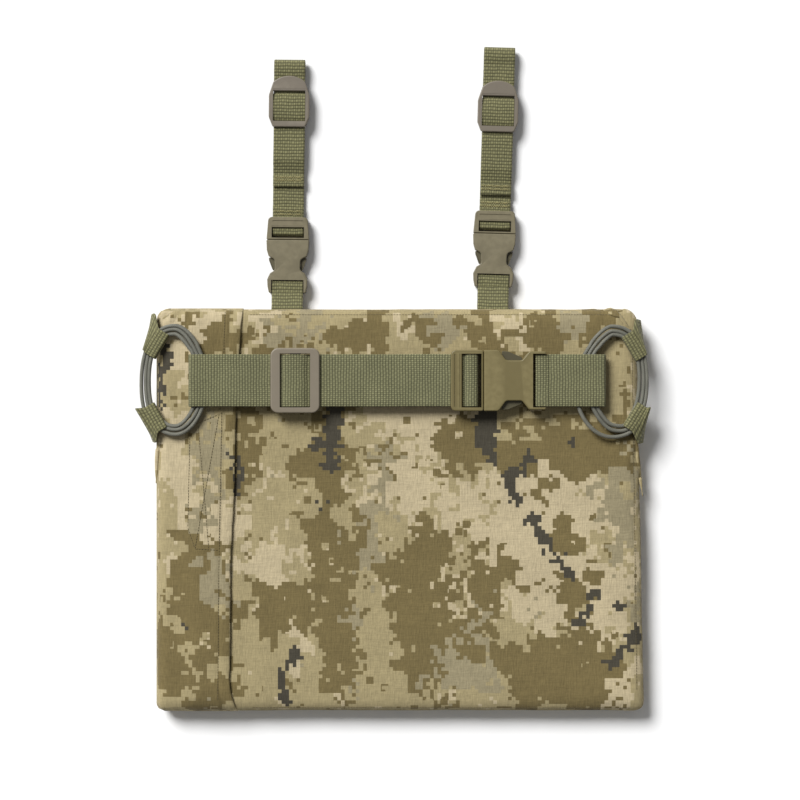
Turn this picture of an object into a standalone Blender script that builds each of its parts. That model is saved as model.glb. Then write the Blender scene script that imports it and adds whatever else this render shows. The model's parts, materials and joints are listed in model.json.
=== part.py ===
"""Padded panel pack: a foam panel in a sewn cover with a closure flap, a waist belt hung on two cord
rings, and two hanger straps with side-release buckles and ladder locks.

The pack lies on its back with +Z up and the hanger straps towards +Y. Lengths in this file are in
millimetres; MM turns them into metres where a mesh is made.
"""

import math

import bmesh
import bpy
from mathutils import Matrix, Vector

MM = 0.001
GAP = 0.3
BAND_ARC_STEPS = 6

# Where the middle of the finished pack's footprint lies in the coordinates used below.
FOOTPRINT_X = 2.06
FOOTPRINT_Y = 0.33

# Panel
PAD_LEFT = -183.0
PAD_RIGHT_TOP = 189.0
PAD_FLARE = 6.0
PAD_TOP = 55.5
PAD_BOTTOM = -256.5
PAD_THICKNESS = 21.0
COVER = 1.0
SEAM_Z = 10.0
PAD_CORNERS = ((12.0, "top right"), (12.0, "top left"), (14.0, "bottom left"), (9.0, "bottom right"))
EDGE_PROFILE = ((0.0, 4.0), (1.0, 1.8), (3.0, 0.5), (7.0, 0.0), (14.0, 0.0), (18.0, 1.0), (20.0, 3.2), (21.0, 7.0))
LINING_PROFILE = ((1.0, 5.2), (2.2, 2.9), (4.0, 1.5), (7.0, 1.0), (14.0, 1.0), (17.4, 2.0), (19.0, 4.3), (20.0, 8.0))

# Closure flap and its touch fastener
FLAP_LEFT = -167.0
FLAP_RIGHT = -118.0
FLAP_END_INSET = 8.0
FASTENER_LEFT = -148.5
FASTENER_RIGHT = -130.5
FASTENER_TOP = 38.0
FASTENER_BOTTOM = -130.0
FASTENER_THICKNESS = 0.8

# Belt
BELT_Y = -1.1
BELT_Z = 28.3
BELT_WIDTH = 40.0
BELT_THICKNESS = 1.4
BELT_HALF_GAP = 1.9
BELT_FOLD_LEFT = -156.2
BELT_FOLD_RIGHT = 163.1
BELT_BUCKLE_X = 69.6
BELT_TAIL = 31.5
SLIDER_X = -74.5

# Hanger straps: where the lower buckle's bar is, and distances along the strap from that bar
STRAP_Z = 5.2
STRAP_WIDTH = 24.0
STRAP_THICKNESS = 1.2
STRAP_HALF_GAP = 1.6
STRAP_TAIL_END = 63.0
TOP_LOOP_HALF_GAP = 2.8
TOP_LOOP_LENGTH = 13.5
HEM_LENGTH = 8.0
STRAPS = (
    {"side": "left", "x": -81.5, "bar_y": 70.2, "lean": 0.6, "lock": 140.2, "hem": 79.4, "top": 177.1},
    {"side": "right", "x": 77.6, "bar_y": 75.0, "lean": 1.6, "lock": 131.6, "hem": 67.9, "top": 181.9},
)

# Cord rings and the side loops that hold them
CORD_DIAMETER = 3.0
CORD_PITCH = 3.3
CORD_TURNS = 3
POINTS_PER_TURN = 26
RING_Y = -1.3
RING_HALF_HEIGHT = 40.5
RING_SQUARENESS = 2.3
RING_SLOPE = 0.13
RING_LEVEL = 9.5
RINGS = (
    {"side": "left", "out": -1, "x": -166.5, "half_width": 22.7, "edge": PAD_LEFT},
    {"side": "right", "out": 1, "x": 167.2, "half_width": 24.6, "edge": PAD_RIGHT_TOP},
)
LOOP_ANGLE = 47.4
LOOP_THICKNESS = 1.2
LOOP_STEP = 3.0
LOOP_HALF_WIDTH = 10.5
LOOP_HALF_GAP = 1.9
LOOP_FOLD = {"upper": -7.6, "lower": -9.2}

BELT_BUCKLE = {
    "socket": ((0, 23.3, 1), (11.2, 23.3, 3), (17.0, 15.4, 3), (29.0, 15.4, 3), (34.5, 22.3, 3), (47.4, 22.3, 1.4)),
    "half_thickness": 6.2,
    "cavity": (34.0, 20.4, 3.3),
    "window": 37.4,
    "slot": 20.5,
    "bar": 44.8,
    "bar_radius": 1.6,
    "plug": ((-25.3, 23.3, 4), (-0.3, 23.3, 0.8)),
    "end_bar": -18.6,
    "wall": -1.8,
    "wrap_bar": -9.5,
    "half_gap": BELT_HALF_GAP,
    "web": BELT_THICKNESS,
    "tongue": (4.0, 12.0, 2.6),
    "prong": (24.0, 4.5, 2.2),
    "arm": ((0.0, 14.6, 0), (0.0, 18.6, 0), (13.9, 19.4, 0.4), (13.9, 22.5, 0.8), (18.5, 22.2, 3),
            (29.5, 17.6, 2), (29.5, 15.2, 1), (25.0, 14.4, 2), (11.0, 15.4, 2)),
    "arm_half_thickness": 2.8,
    "arm_pivot": (0.6, 16.6),
}
STRAP_BUCKLE = {
    "socket": ((0, 16.5, 0.8), (8.0, 16.1, 6), (12.6, 14.7, 0.8), (15.2, 10.0, 3), (23.4, 9.7, 3), (25.8, 13.4, 2),
               (30.5, 15.6, 3), (36.0, 15.3, 4), (41.0, 14.2, 1.2)),
    "half_thickness": 4.7,
    "cavity": (25.0, 13.4, 2.6),
    "window": 31.0,
    "slot": 12.5,
    "bar": 37.5,
    "bar_radius": 1.3,
    "plug": ((-17.6, 15.1, 3), (-0.3, 16.4, 0.6)),
    "end_bar": -10.8,
    "wall": -1.6,
    "wrap_bar": -5.8,
    "half_gap": STRAP_HALF_GAP,
    "web": STRAP_THICKNESS,
    "tongue": (3.0, 8.0, 2.0),
    "prong": (17.0, 3.0, 1.7),
    "arm": ((0.0, 9.0, 0), (0.0, 12.2, 0), (13.8, 12.7, 0.3), (13.8, 14.6, 0.6), (16.0, 14.3, 2),
            (23.6, 11.4, 1.5), (23.6, 9.8, 0.8), (19.5, 9.2, 2), (9.0, 9.8, 2)),
    "arm_half_thickness": 2.1,
    "arm_pivot": (0.5, 10.6),
}

# Finishes: linear colour and roughness
CAMOUFLAGE = ((0.30, 0.25, 0.14), 0.92)
OLIVE_WEBBING = ((0.175, 0.17, 0.095), 0.85)
SAND_PLASTIC = ((0.20, 0.17, 0.085), 0.5)
TAUPE_PLASTIC = ((0.23, 0.20, 0.15), 0.5)
CORD_GREY = ((0.16, 0.16, 0.13), 0.6)
FOAM_GREY = ((0.12, 0.12, 0.12), 0.95)
FASTENER_OLIVE = ((0.12, 0.115, 0.06), 0.95)


# ---------------------------------------------------------------- shapes

def skin(rings, closed=False):
    """A closed surface through rings of equal count, capped at both ends or joined end to end."""
    bm = bmesh.new()
    rows = [[bm.verts.new(point) for point in ring] for ring in rings]
    pairs = list(zip(rows, rows[1:]))
    if closed:
        pairs.append((rows[-1], rows[0]))
    for low, high in pairs:
        for i in range(len(low)):
            j = (i + 1) % len(low)
            bm.faces.new((low[i], low[j], high[j], high[i]))
    if not closed:
        bm.faces.new(rows[0])
        bm.faces.new(rows[-1])
    bmesh.ops.recalc_face_normals(bm, faces=bm.faces)
    return bm


def rounded(corners, steps=4):
    """An outline through corners (u, v, radius), each sharp corner replaced by an arc of its radius."""
    outline = []
    for i, (u, v, radius) in enumerate(corners):
        corner = Vector((u, v))
        if radius == 0:
            outline.append((u, v))
            continue
        back = (Vector(corners[i - 1][:2]) - corner).normalized()
        ahead = (Vector(corners[(i + 1) % len(corners)][:2]) - corner).normalized()
        half = back.angle(ahead) / 2
        centre = corner + (back + ahead).normalized() * radius / math.sin(half)
        start = corner + back * radius / math.tan(half) - centre
        end = corner + ahead * radius / math.tan(half) - centre
        sweep = start.angle_signed(end)
        for k in range(steps + 1):
            turned = start.copy()
            turned.rotate(Matrix.Rotation(-sweep * k / steps, 2))
            outline.append(tuple(centre + turned))
    return outline


def mirrored(half_outline):
    """Closes an outline given on its +v side by adding the -v side in reverse."""
    return [*half_outline, *[(u, -v, radius) for u, v, radius in reversed(half_outline)]]


def prism(outline, low, high):
    return skin([[Vector((u, v, w)) for u, v in outline] for w in (low, high)])


def block(low, high):
    outline = ((low[0], low[1]), (high[0], low[1]), (high[0], high[1]), (low[0], high[1]))
    return prism(outline, low[2], high[2])


def rod(u, w, radius, half_length, sides=16):
    """A round bar along v."""
    turns = [2 * math.pi * i / sides for i in range(sides)]
    circle = [(u + radius * math.cos(a), w + radius * math.sin(a)) for a in turns]
    return skin([[Vector((a, v, b)) for a, b in circle] for v in (-half_length, half_length)])


def arc(centre, radius, start, end, steps=BAND_ARC_STEPS):
    """Points (along, z) on an arc, in degrees from the +along direction towards +Z."""
    angles = [math.radians(start + (end - start) * i / steps) for i in range(steps + 1)]
    return [(centre[0] + radius * math.cos(a), centre[1] + radius * math.sin(a)) for a in angles]


def band(rulings, thickness, closed=False):
    """Webbing of one thickness through straight lines (p, q) that lie across it."""
    middles = [(p + q) / 2 for p, q in rulings]
    last = len(rulings) - 1
    rings = []
    for i, (p, q) in enumerate(rulings):
        before = middles[i - 1] if closed else middles[max(i - 1, 0)]
        after = middles[(i + 1) % len(middles)] if closed else middles[min(i + 1, last)]
        offset = (after - before).cross(q - p).normalized() * thickness / 2
        rings.append((p + offset, q + offset, q - offset, p - offset))
    return skin(rings, closed)


def subdivided(rulings, step):
    """Adds rulings between those that lie further apart than step, so that a twist stays smooth."""
    finer = [rulings[0]]
    for (p, q), (next_p, next_q) in zip(rulings, rulings[1:]):
        parts = max(1, round(max((next_p - p).length, (next_q - q).length) / step))
        finer += [(p.lerp(next_p, k / parts), q.lerp(next_q, k / parts)) for k in range(1, parts + 1)]
    return finer


def straight_band(path, width, thickness, across_y=True, closed=False):
    """Webbing whose middle follows (along, z) points; it is level across Y, or across X."""
    if across_y:
        rulings = [(Vector((a, -width / 2, z)), Vector((a, width / 2, z))) for a, z in path]
    else:
        rulings = [(Vector((-width / 2, a, z)), Vector((width / 2, a, z))) for a, z in path]
    return band(rulings, thickness, closed)


# ---------------------------------------------------------------- objects

def make_pack():
    """The empty that holds every piece, with its own origin in the middle of the footprint."""
    pack = bpy.data.objects.new("pack", None)
    pack.location = (-FOOTPRINT_X * MM, -FOOTPRINT_Y * MM, 0)
    bpy.context.scene.collection.objects.link(pack)
    return pack


def finish_of(name, finish):
    colour, roughness = finish
    made = bpy.data.materials.new(name + "_finish")
    made.use_nodes = True
    shader = made.node_tree.nodes["Principled BSDF"]
    shader.inputs["Base Color"].default_value = (*colour, 1.0)
    shader.inputs["Roughness"].default_value = roughness
    shader.inputs["Metallic"].default_value = 0.0
    made.diffuse_color = (*colour, 1.0)
    return made


def place(obj, frame, origin):
    """Stands an object whose mesh is relative to origin into the pack, through its frame."""
    turned = frame @ Matrix.Translation(origin)
    turned.translation *= MM
    obj.matrix_basis = turned
    obj.parent = bpy.data.objects["pack"]
    bpy.context.scene.collection.objects.link(obj)


def add(name, bm, finish, frame=Matrix(), origin=(0, 0, 0), bevel=0.0, smooth=True):
    """Makes a mesh object from a shape in millimetres. origin is a point of the joint axis."""
    bmesh.ops.translate(bm, verts=bm.verts, vec=-Vector(origin))
    bmesh.ops.scale(bm, verts=bm.verts, vec=(MM, MM, MM))
    mesh = bpy.data.meshes.new(name)
    bm.to_mesh(mesh)
    bm.free()
    if smooth:
        mesh.shade_smooth()
        mesh.set_sharp_from_angle(angle=math.radians(35))
    obj = bpy.data.objects.new(name, mesh)
    place(obj, frame, origin)
    if finish:
        mesh.materials.append(finish_of(name, finish))
    if bevel:
        rounding = obj.modifiers.new("edges", "BEVEL")
        rounding.width = bevel * MM
        rounding.segments = 2
        rounding.limit_method = "ANGLE"
        rounding.angle_limit = math.radians(40)
    return obj


def combine(obj, operation, bm, frame, origin):
    """Cuts a shape from obj, or joins it to obj."""
    helper = add(f"helper_{obj.name}_{len(obj.modifiers)}", bm, None, frame, origin)
    helper.hide_render = True
    helper.display_type = "WIRE"
    boolean = obj.modifiers.new(operation.lower(), "BOOLEAN")
    boolean.operation = operation
    boolean.object = helper


# ---------------------------------------------------------------- panel

def pad_outline(inset, z):
    """The panel's outline at one height, pulled in by inset; its right side flares towards the bottom."""
    left, right = PAD_LEFT + inset, PAD_RIGHT_TOP - inset
    bottom, top = PAD_BOTTOM + inset, PAD_TOP - inset
    spots = ((right, top), (left, top), (left, bottom), (right, bottom))
    radii = [max(radius - inset, 2.5) for radius, _ in PAD_CORNERS]
    outline = rounded([(x, y, radius) for (x, y), radius in zip(spots, radii)], steps=5)
    span = PAD_RIGHT_TOP - PAD_LEFT
    length = PAD_TOP - PAD_BOTTOM
    flared = []
    for x, y in outline:
        flare = PAD_FLARE * (x - PAD_LEFT) / span * (PAD_TOP - y) / length
        flared.append(Vector((x + flare, y, z)))
    return flared


def profile_rings(profile, low, high):
    """Outlines at the profile's own heights between low and high, and at those two heights."""
    inside = [(z, inset) for z, inset in profile if low <= z <= high]
    if inside[0][0] > low:
        inside.insert(0, (low, inside[0][1]))
    if inside[-1][0] < high:
        inside.append((high, inside[-1][1]))
    return [pad_outline(inset, z) for z, inset in inside]


def make_panel():
    back_outside = profile_rings(EDGE_PROFILE, 0.0, SEAM_Z)
    back_inside = profile_rings(LINING_PROFILE, COVER, SEAM_Z)
    add("back_cover", skin(back_outside + back_inside[::-1]), CAMOUFLAGE)

    seam = SEAM_Z + GAP
    front_outside = profile_rings(EDGE_PROFILE, seam, PAD_THICKNESS)
    front_inside = profile_rings(LINING_PROFILE, seam, PAD_THICKNESS - COVER)
    add("front_cover", skin(front_outside[::-1] + front_inside), CAMOUFLAGE)

    core = [
        pad_outline(inset + 2 * GAP, z)
        for z, inset in ((1.4, 5.6), (2.6, 3.0), (4.2, 1.5), (7.0, 1.0), (14.0, 1.0), (17.0, 2.0), (18.6, 4.4), (19.6, 8.0))
    ]
    add("foam_core", skin(core), FOAM_GREY)


def make_flap():
    """The closure flap is raised over the two strips of touch fastener that hold it shut."""
    top = PAD_THICKNESS + GAP
    half = COVER / 2
    raised = top + 2 * FASTENER_THICKNESS + 2 * GAP
    path = (
        (FLAP_LEFT, top + half),
        (FASTENER_LEFT - 4.0, top + half),
        (FASTENER_LEFT - 1.0, raised + half),
        (FASTENER_RIGHT + 1.0, raised + half),
        (FASTENER_RIGHT + 4.0, top + half),
        (FLAP_RIGHT, top + half),
    )
    middle = (PAD_TOP + PAD_BOTTOM) / 2
    length = PAD_TOP - PAD_BOTTOM - 2 * FLAP_END_INSET
    frame = Matrix.Translation((0, middle, 0))
    add("closure_flap", straight_band(path, length, COVER), CAMOUFLAGE, frame)
    for name, low in (("loop_strip", top), ("hook_strip", top + FASTENER_THICKNESS + GAP)):
        strip = block(
            (FASTENER_LEFT, FASTENER_BOTTOM, low),
            (FASTENER_RIGHT, FASTENER_TOP, low + FASTENER_THICKNESS),
        )
        add(name, strip, FASTENER_OLIVE)


# ---------------------------------------------------------------- cord rings and side loops

def ring_height(ring, x):
    """The ring is level inside the belt's fold and falls gently from there to the panel's edge."""
    inner_x = ring["x"] - ring["out"] * ring["half_width"]
    return BELT_Z - RING_SLOPE * max(0.0, abs(x - inner_x) - RING_LEVEL)


def oval_point(ring, angle):
    c, s = math.cos(angle), math.sin(angle)
    power = 2 / RING_SQUARENESS
    x = math.copysign(abs(c) ** power, c) * ring["half_width"]
    y = math.copysign(abs(s) ** power, s) * RING_HALF_HEIGHT
    return Vector((ring["x"] + x, RING_Y + y))


def oval_outward(ring, angle):
    along = oval_point(ring, angle + 0.03) - oval_point(ring, angle - 0.03)
    return Vector((along.y, -along.x)).normalized()


def ring_route(ring):
    """Three turns that lie side by side, from one end to the other inside the lower side loop."""
    steps = CORD_TURNS * POINTS_PER_TURN
    start = math.radians(180 + LOOP_ANGLE if ring["out"] < 0 else -LOOP_ANGLE)
    route = []
    for i in range(steps + 1):
        turn = i / POINTS_PER_TURN
        angle = start + 2 * math.pi * turn
        offset = CORD_PITCH * (turn - CORD_TURNS / 2)
        spot = oval_point(ring, angle) + oval_outward(ring, angle) * offset
        route.append(Vector((spot.x, spot.y, ring_height(ring, spot.x))))
    return route


def make_ring(ring):
    name = ring["side"] + "_cord_ring"
    curve = bpy.data.curves.new(name, "CURVE")
    curve.dimensions = "3D"
    curve.bevel_depth = CORD_DIAMETER / 2 * MM
    curve.bevel_resolution = 2
    curve.use_fill_caps = True
    route = ring_route(ring)
    spline = curve.splines.new("POLY")
    spline.points.add(len(route) - 1)
    for point, spot in zip(spline.points, route):
        point.co = (*(spot * MM), 1)
    curve.materials.append(finish_of(name, CORD_GREY))
    place(bpy.data.objects.new(name, curve), Matrix(), (0, 0, 0))


def make_side_loop(ring, end, up):
    """Webbing sewn into the side seam, over the cords, folded round them and back to the seam."""
    out = ring["out"]
    angle = math.radians(180 - up * LOOP_ANGLE if out < 0 else up * LOOP_ANGLE)
    centre = oval_point(ring, angle)
    outward = oval_outward(ring, angle)
    along = Vector((-out * abs(outward.y), up * abs(outward.x)))
    radius = LOOP_HALF_GAP + LOOP_THICKNESS / 2
    fold = LOOP_FOLD[end]
    spread = out * (ring["x"] + out * ring["half_width"] - ring["edge"]) - 6.2

    def at_edge(x_out, y_up, z):
        y = RING_Y + up * y_up
        flare = PAD_FLARE * (PAD_TOP - y) / (PAD_TOP - PAD_BOTTOM) if out > 0 else 0.0
        return Vector((ring["edge"] + flare + out * x_out, y, z))

    def over_cords(k, rise):
        ends = []
        for sign in (-1, 1):
            spot = centre + outward * k + along * sign * LOOP_HALF_WIDTH
            ends.append(Vector((spot.x, spot.y, ring_height(ring, spot.x) + rise)))
        return tuple(ends)

    rulings = [
        (at_edge(0.9, 21, 10.9), at_edge(0.9, 43, 10.9)),
        (at_edge(1.5, 21, 17.5), at_edge(1.5, 43, 17.5)),
        (at_edge(1.8, 22, 20.0), at_edge(1.0, 42, 20.6)),
        over_cords(-1.0, -radius),
        over_cords(fold, -radius),
    ]
    for step in (45, 90, 135):
        turn = math.radians(step)
        rulings.append(over_cords(fold - radius * math.sin(turn), -radius * math.cos(turn)))
    rulings += [
        over_cords(fold, radius),
        over_cords(6.8, radius),
        (at_edge(12.3 + spread, 24, 22.5), at_edge(3.6 + spread, 46, 22.5)),
        (at_edge(7.0 + spread * 0.6, 22.5, 15.5), at_edge(3.2, 44, 15.5)),
        (at_edge(2.5, 21.5, 12.4), at_edge(2.5, 43.5, 12.4)),
    ]
    shape = band(subdivided(rulings, LOOP_STEP), LOOP_THICKNESS)
    add(f"{ring['side']}_{end}_loop", shape, OLIVE_WEBBING)


# ---------------------------------------------------------------- side-release buckle

def make_socket(name, buckle, finish, frame):
    """The half that the plug slides into. Its mouth is at u = 0, and the webbing's bar is at its far end."""
    pivot = (buckle["bar"], 0, 0)
    thick = buckle["half_thickness"]
    outline = rounded(mirrored(buckle["socket"]))
    socket = add(name, prism(outline, -thick, thick), finish, frame, pivot, bevel=1.0)
    depth, half_width, half_height = buckle["cavity"]
    cavity = block((-5, -half_width, -half_height), (depth, half_width, half_height))
    combine(socket, "DIFFERENCE", cavity, frame, pivot)
    slot = buckle["slot"]
    beyond = buckle["bar"] + 20
    window = block((buckle["window"], -slot, -thick - 2), (beyond, slot, thick + 2))
    combine(socket, "DIFFERENCE", window, frame, pivot)
    bar = rod(buckle["bar"], 0, buckle["bar_radius"], slot + 0.8)
    combine(socket, "UNION", bar, frame, pivot)


def make_plug(name, buckle, finish, frame):
    """The half with the latch arms: an adjuster frame, a wrap bar, a tongue and a guide prong."""
    pivot = (0, 0, 0)
    over = buckle["half_gap"] + buckle["web"] + GAP
    rail_low = -buckle["half_thickness"] + 0.7
    rail_high = buckle["half_thickness"] - 0.2
    outline = rounded(mirrored(buckle["plug"]))
    plug = add(name, prism(outline, rail_low, rail_high), finish, frame, pivot, bevel=0.8)
    slot = buckle["slot"]
    under = block((-40, -slot, -20), (buckle["wall"], slot, over))
    combine(plug, "DIFFERENCE", under, frame, pivot)
    window = block((buckle["end_bar"], -slot, over - 1), (buckle["wall"], slot, 20))
    combine(plug, "DIFFERENCE", window, frame, pivot)
    bar = rod(buckle["wrap_bar"], 0, buckle["bar_radius"], slot + 0.8)
    combine(plug, "UNION", bar, frame, pivot)
    depth, half_width, half_height = buckle["tongue"]
    tongue = block((-1, -half_width, -half_height), (depth, half_width, half_height))
    combine(plug, "UNION", tongue, frame, pivot)
    reach, half_width, half_height = buckle["prong"]
    prong = block((depth - 1, -half_width, -half_height), (reach, half_width, half_height))
    combine(plug, "UNION", prong, frame, pivot)


def make_arm(name, buckle, finish, frame, side):
    """A sprung latch arm; its root is at the plug's wall, and its hooked head shows in the socket's side."""
    u, v = buckle["arm_pivot"]
    corners = buckle["arm"] if side > 0 else [(a, -b, r) for a, b, r in reversed(buckle["arm"])]
    thick = buckle["arm_half_thickness"]
    shape = prism(rounded(corners, steps=3), -thick, thick)
    add(name, shape, finish, frame, (u, v * side, 0), bevel=0.5)


def make_buckle(prefix, buckle, finish, frame):
    make_socket(prefix + "_buckle_socket", buckle, finish, frame)
    make_plug(prefix + "_buckle_plug", buckle, finish, frame)
    make_arm(prefix + "_latch_arm_a", buckle, finish, frame, 1)
    make_arm(prefix + "_latch_arm_b", buckle, finish, frame, -1)


# ---------------------------------------------------------------- belt

def make_belt():
    frame = Matrix.Translation((0, BELT_Y, 0))
    middle = BELT_HALF_GAP + BELT_THICKNESS / 2
    bar_x = BELT_BUCKLE_X + BELT_BUCKLE["wrap_bar"]
    fold_x = BELT_FOLD_LEFT + middle + BELT_THICKNESS / 2
    left = [
        (bar_x - BELT_TAIL, BELT_Z - middle),
        *arc((bar_x, BELT_Z), middle, -90, 90),
        *arc((fold_x, BELT_Z), middle, 90, 270),
        (SLIDER_X, BELT_Z - middle),
    ]
    shape = straight_band(left, BELT_WIDTH, BELT_THICKNESS)
    add("belt_left_webbing", shape, OLIVE_WEBBING, frame)

    socket_x = BELT_BUCKLE_X + BELT_BUCKLE["bar"]
    fold_x = BELT_FOLD_RIGHT - middle - BELT_THICKNESS / 2
    right = [*arc((fold_x, BELT_Z), middle, -90, 90), *arc((socket_x, BELT_Z), middle, 90, 270)]
    shape = straight_band(right, BELT_WIDTH, BELT_THICKNESS, closed=True)
    add("belt_right_webbing", shape, OLIVE_WEBBING, frame)

    make_buckle("belt", BELT_BUCKLE, SAND_PLASTIC, Matrix.Translation((BELT_BUCKLE_X, BELT_Y, BELT_Z)))
    make_slider(Matrix.Translation((SLIDER_X, BELT_Y, BELT_Z)))


def make_slider(frame):
    """A three-bar slider: its outer bars lie on the webbing and its centre bar lies under it."""
    over = BELT_HALF_GAP + BELT_THICKNESS + GAP
    slot = BELT_WIDTH / 2 + 0.5
    top = over + 2.4
    bar_half = BELT_HALF_GAP - 0.4
    outline = rounded([(18.8, 24.8, 6), (-18.8, 24.8, 6), (-18.8, -24.8, 6), (18.8, -24.8, 6)], steps=5)
    slider = add("belt_slider", prism(outline, -bar_half, top), TAUPE_PLASTIC, frame, bevel=0.9)
    under = block((-30, -slot, -10), (30, slot, over))
    combine(slider, "DIFFERENCE", under, frame, (0, 0, 0))
    window = block((-11.5, -slot, over - 1), (11.5, slot, 20))
    combine(slider, "DIFFERENCE", window, frame, (0, 0, 0))
    bar = block((-4.0, -slot - 1, -bar_half + 0.1), (4.0, slot + 1, bar_half))
    combine(slider, "UNION", bar, frame, (0, 0, 0))


# ---------------------------------------------------------------- hanger straps

def make_ladder_lock(name, frame):
    """An adjuster with a half-round pull tab; its outer bars lie on the webbing."""
    over = STRAP_HALF_GAP + STRAP_THICKNESS + GAP
    slot = STRAP_WIDTH / 2 + 0.5
    top = over + 2.2
    bar_half = STRAP_HALF_GAP - 0.4
    tab = [(24 - 24 * (1 - math.cos(a)) * 0.58, 16.2 * math.sin(a), 0) for a in (0, 0.22, 0.44, 0.66, 0.88)]
    side = [(9.0, 15.7, 6), (-8.0, 15.7, 6), (-15.6, 12.6, 2.5)]
    half = [*tab[1:], *side]
    outline = rounded([tab[0], *half, *[(u, -v, r) for u, v, r in reversed(half)]])
    lock = add(name, prism(outline, -bar_half, top), TAUPE_PLASTIC, frame, bevel=0.7)
    under = block((-30, -slot, -10), (40, slot, over))
    combine(lock, "DIFFERENCE", under, frame, (0, 0, 0))
    window = block((-11.0, -slot, over - 1), (13.8, slot, 20))
    combine(lock, "DIFFERENCE", window, frame, (0, 0, 0))
    bar = block((-3.0, -slot - 1, -bar_half + 0.1), (3.0, slot + 1, bar_half))
    combine(lock, "UNION", bar, frame, (0, 0, 0))


def make_strap(strap):
    """One hanger: an anchor loop from the panel's seam, a buckle, and an adjustable webbing loop."""
    name = strap["side"] + "_strap"
    bar_frame = Matrix.Translation((strap["x"], strap["bar_y"], STRAP_Z)) @ Matrix.Rotation(
        -math.radians(strap["lean"]), 4, "Z"
    )
    middle = STRAP_HALF_GAP + STRAP_THICKNESS / 2

    reach = (strap["bar_y"] - PAD_TOP - 3 * GAP) / math.cos(math.radians(strap["lean"]))
    anchor = [
        (-reach, 8.9 - STRAP_Z),
        (-0.5 * reach, 5.2 - STRAP_Z),
        *arc((0, 0), middle, -90, 90),
        (-0.5 * reach, 9.0 - STRAP_Z),
        (-reach, 11.4 - STRAP_Z),
    ]
    shape = straight_band(anchor, STRAP_WIDTH, STRAP_THICKNESS, across_y=False)
    add(name + "_anchor", shape, OLIVE_WEBBING, bar_frame)

    parting = STRAP_BUCKLE["bar"]
    buckle_frame = bar_frame @ Matrix.Translation((0, parting, 0)) @ Matrix.Rotation(-math.pi / 2, 4, "Z")
    make_buckle(name, STRAP_BUCKLE, TAUPE_PLASTIC, buckle_frame)

    wrap = parting - STRAP_BUCKLE["wrap_bar"]
    open_middle = TOP_LOOP_HALF_GAP + STRAP_THICKNESS / 2
    top = strap["top"] - TOP_LOOP_HALF_GAP - STRAP_THICKNESS
    open_from = strap["top"] - TOP_LOOP_LENGTH
    open_by = open_from + 0.4 * TOP_LOOP_LENGTH
    hem_middle = middle + (STRAP_THICKNESS + GAP) / 2
    hem_radius = (STRAP_THICKNESS + GAP) / 2
    webbing = [
        (STRAP_TAIL_END, middle),
        *arc((wrap, 0), middle, 90, 270),
        (open_from, -middle),
        (open_by, -open_middle),
        *arc((top, 0), open_middle, -90, 90),
        (open_by, open_middle),
        (open_from, middle),
        *arc((strap["hem"] + hem_radius, hem_middle), hem_radius, 270, 90),
        (strap["hem"] + HEM_LENGTH, hem_middle + hem_radius),
    ]
    shape = straight_band(webbing, STRAP_WIDTH, STRAP_THICKNESS, across_y=False)
    add(name + "_webbing", shape, OLIVE_WEBBING, bar_frame)

    lock_frame = bar_frame @ Matrix.Translation((0, strap["lock"], 0)) @ Matrix.Rotation(math.pi / 2, 4, "Z")
    make_ladder_lock(name + "_ladder_lock", lock_frame)


def main():
    for obj in list(bpy.data.objects):
        bpy.data.objects.remove(obj, do_unlink=True)
    make_pack()
    make_panel()
    make_flap()
    for ring in RINGS:
        make_ring(ring)
        make_side_loop(ring, "upper", 1)
        make_side_loop(ring, "lower", -1)
    make_belt()
    for strap in STRAPS:
        make_strap(strap)


main()
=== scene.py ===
import json
import math

import bmesh
import bpy
import numpy as np
from mathutils import Matrix, Vector, noise
from mathutils.bvhtree import BVHTree

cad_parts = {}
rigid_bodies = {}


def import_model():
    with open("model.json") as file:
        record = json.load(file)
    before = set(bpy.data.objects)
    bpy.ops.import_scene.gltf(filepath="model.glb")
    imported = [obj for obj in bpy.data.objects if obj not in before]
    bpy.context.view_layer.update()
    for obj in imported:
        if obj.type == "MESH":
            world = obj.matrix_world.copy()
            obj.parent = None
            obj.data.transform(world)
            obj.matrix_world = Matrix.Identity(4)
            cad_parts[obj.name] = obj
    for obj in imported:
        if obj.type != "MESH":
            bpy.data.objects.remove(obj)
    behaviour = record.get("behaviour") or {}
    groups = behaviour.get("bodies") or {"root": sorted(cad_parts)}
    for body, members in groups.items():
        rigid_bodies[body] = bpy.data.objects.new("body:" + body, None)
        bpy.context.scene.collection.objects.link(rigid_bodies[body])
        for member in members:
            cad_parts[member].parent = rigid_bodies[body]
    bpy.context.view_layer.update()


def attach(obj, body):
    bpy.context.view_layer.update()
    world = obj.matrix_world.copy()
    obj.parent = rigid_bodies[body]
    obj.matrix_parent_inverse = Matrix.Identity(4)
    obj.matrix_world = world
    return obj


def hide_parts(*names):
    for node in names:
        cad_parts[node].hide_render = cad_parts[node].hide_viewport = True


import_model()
for leftover in list(bpy.data.objects):
    if leftover.type in ("CAMERA", "LIGHT") or leftover.name == "Cube":
        bpy.data.objects.remove(leftover)

# Lengths are in millimetres, in the part's own drawing coordinates. SHIFT takes them to the row frame.
MM = 0.001
SHIFT = Vector((-2.06, -0.33, 0.0))

PAD_LEFT, PAD_RIGHT, PAD_TOP, PAD_BOTTOM = -183.0, 189.0, 55.5, -256.5
PAD_FLARE = 6.0
PAD_FACE_Z = 20.0
CORNER_RADII = (12.0, 10.0, 7.0, 7.0)
INSET_SHARE = 0.6
SEAM_Z = 14.6
BELT_Y, BELT_Z = -1.1, 28.3
BELT_WIDTH, BELT_THICKNESS = 40.0, 1.4
BUCKLE_X, SLIDER_X = 69.6, -74.5
LEFT_FOLD_X, RIGHT_FOLD_X = -156.2, 163.1
STRAP_Z = 5.2
STRAP_WIDTH, STRAP_THICKNESS = 24.0, 1.2
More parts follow.
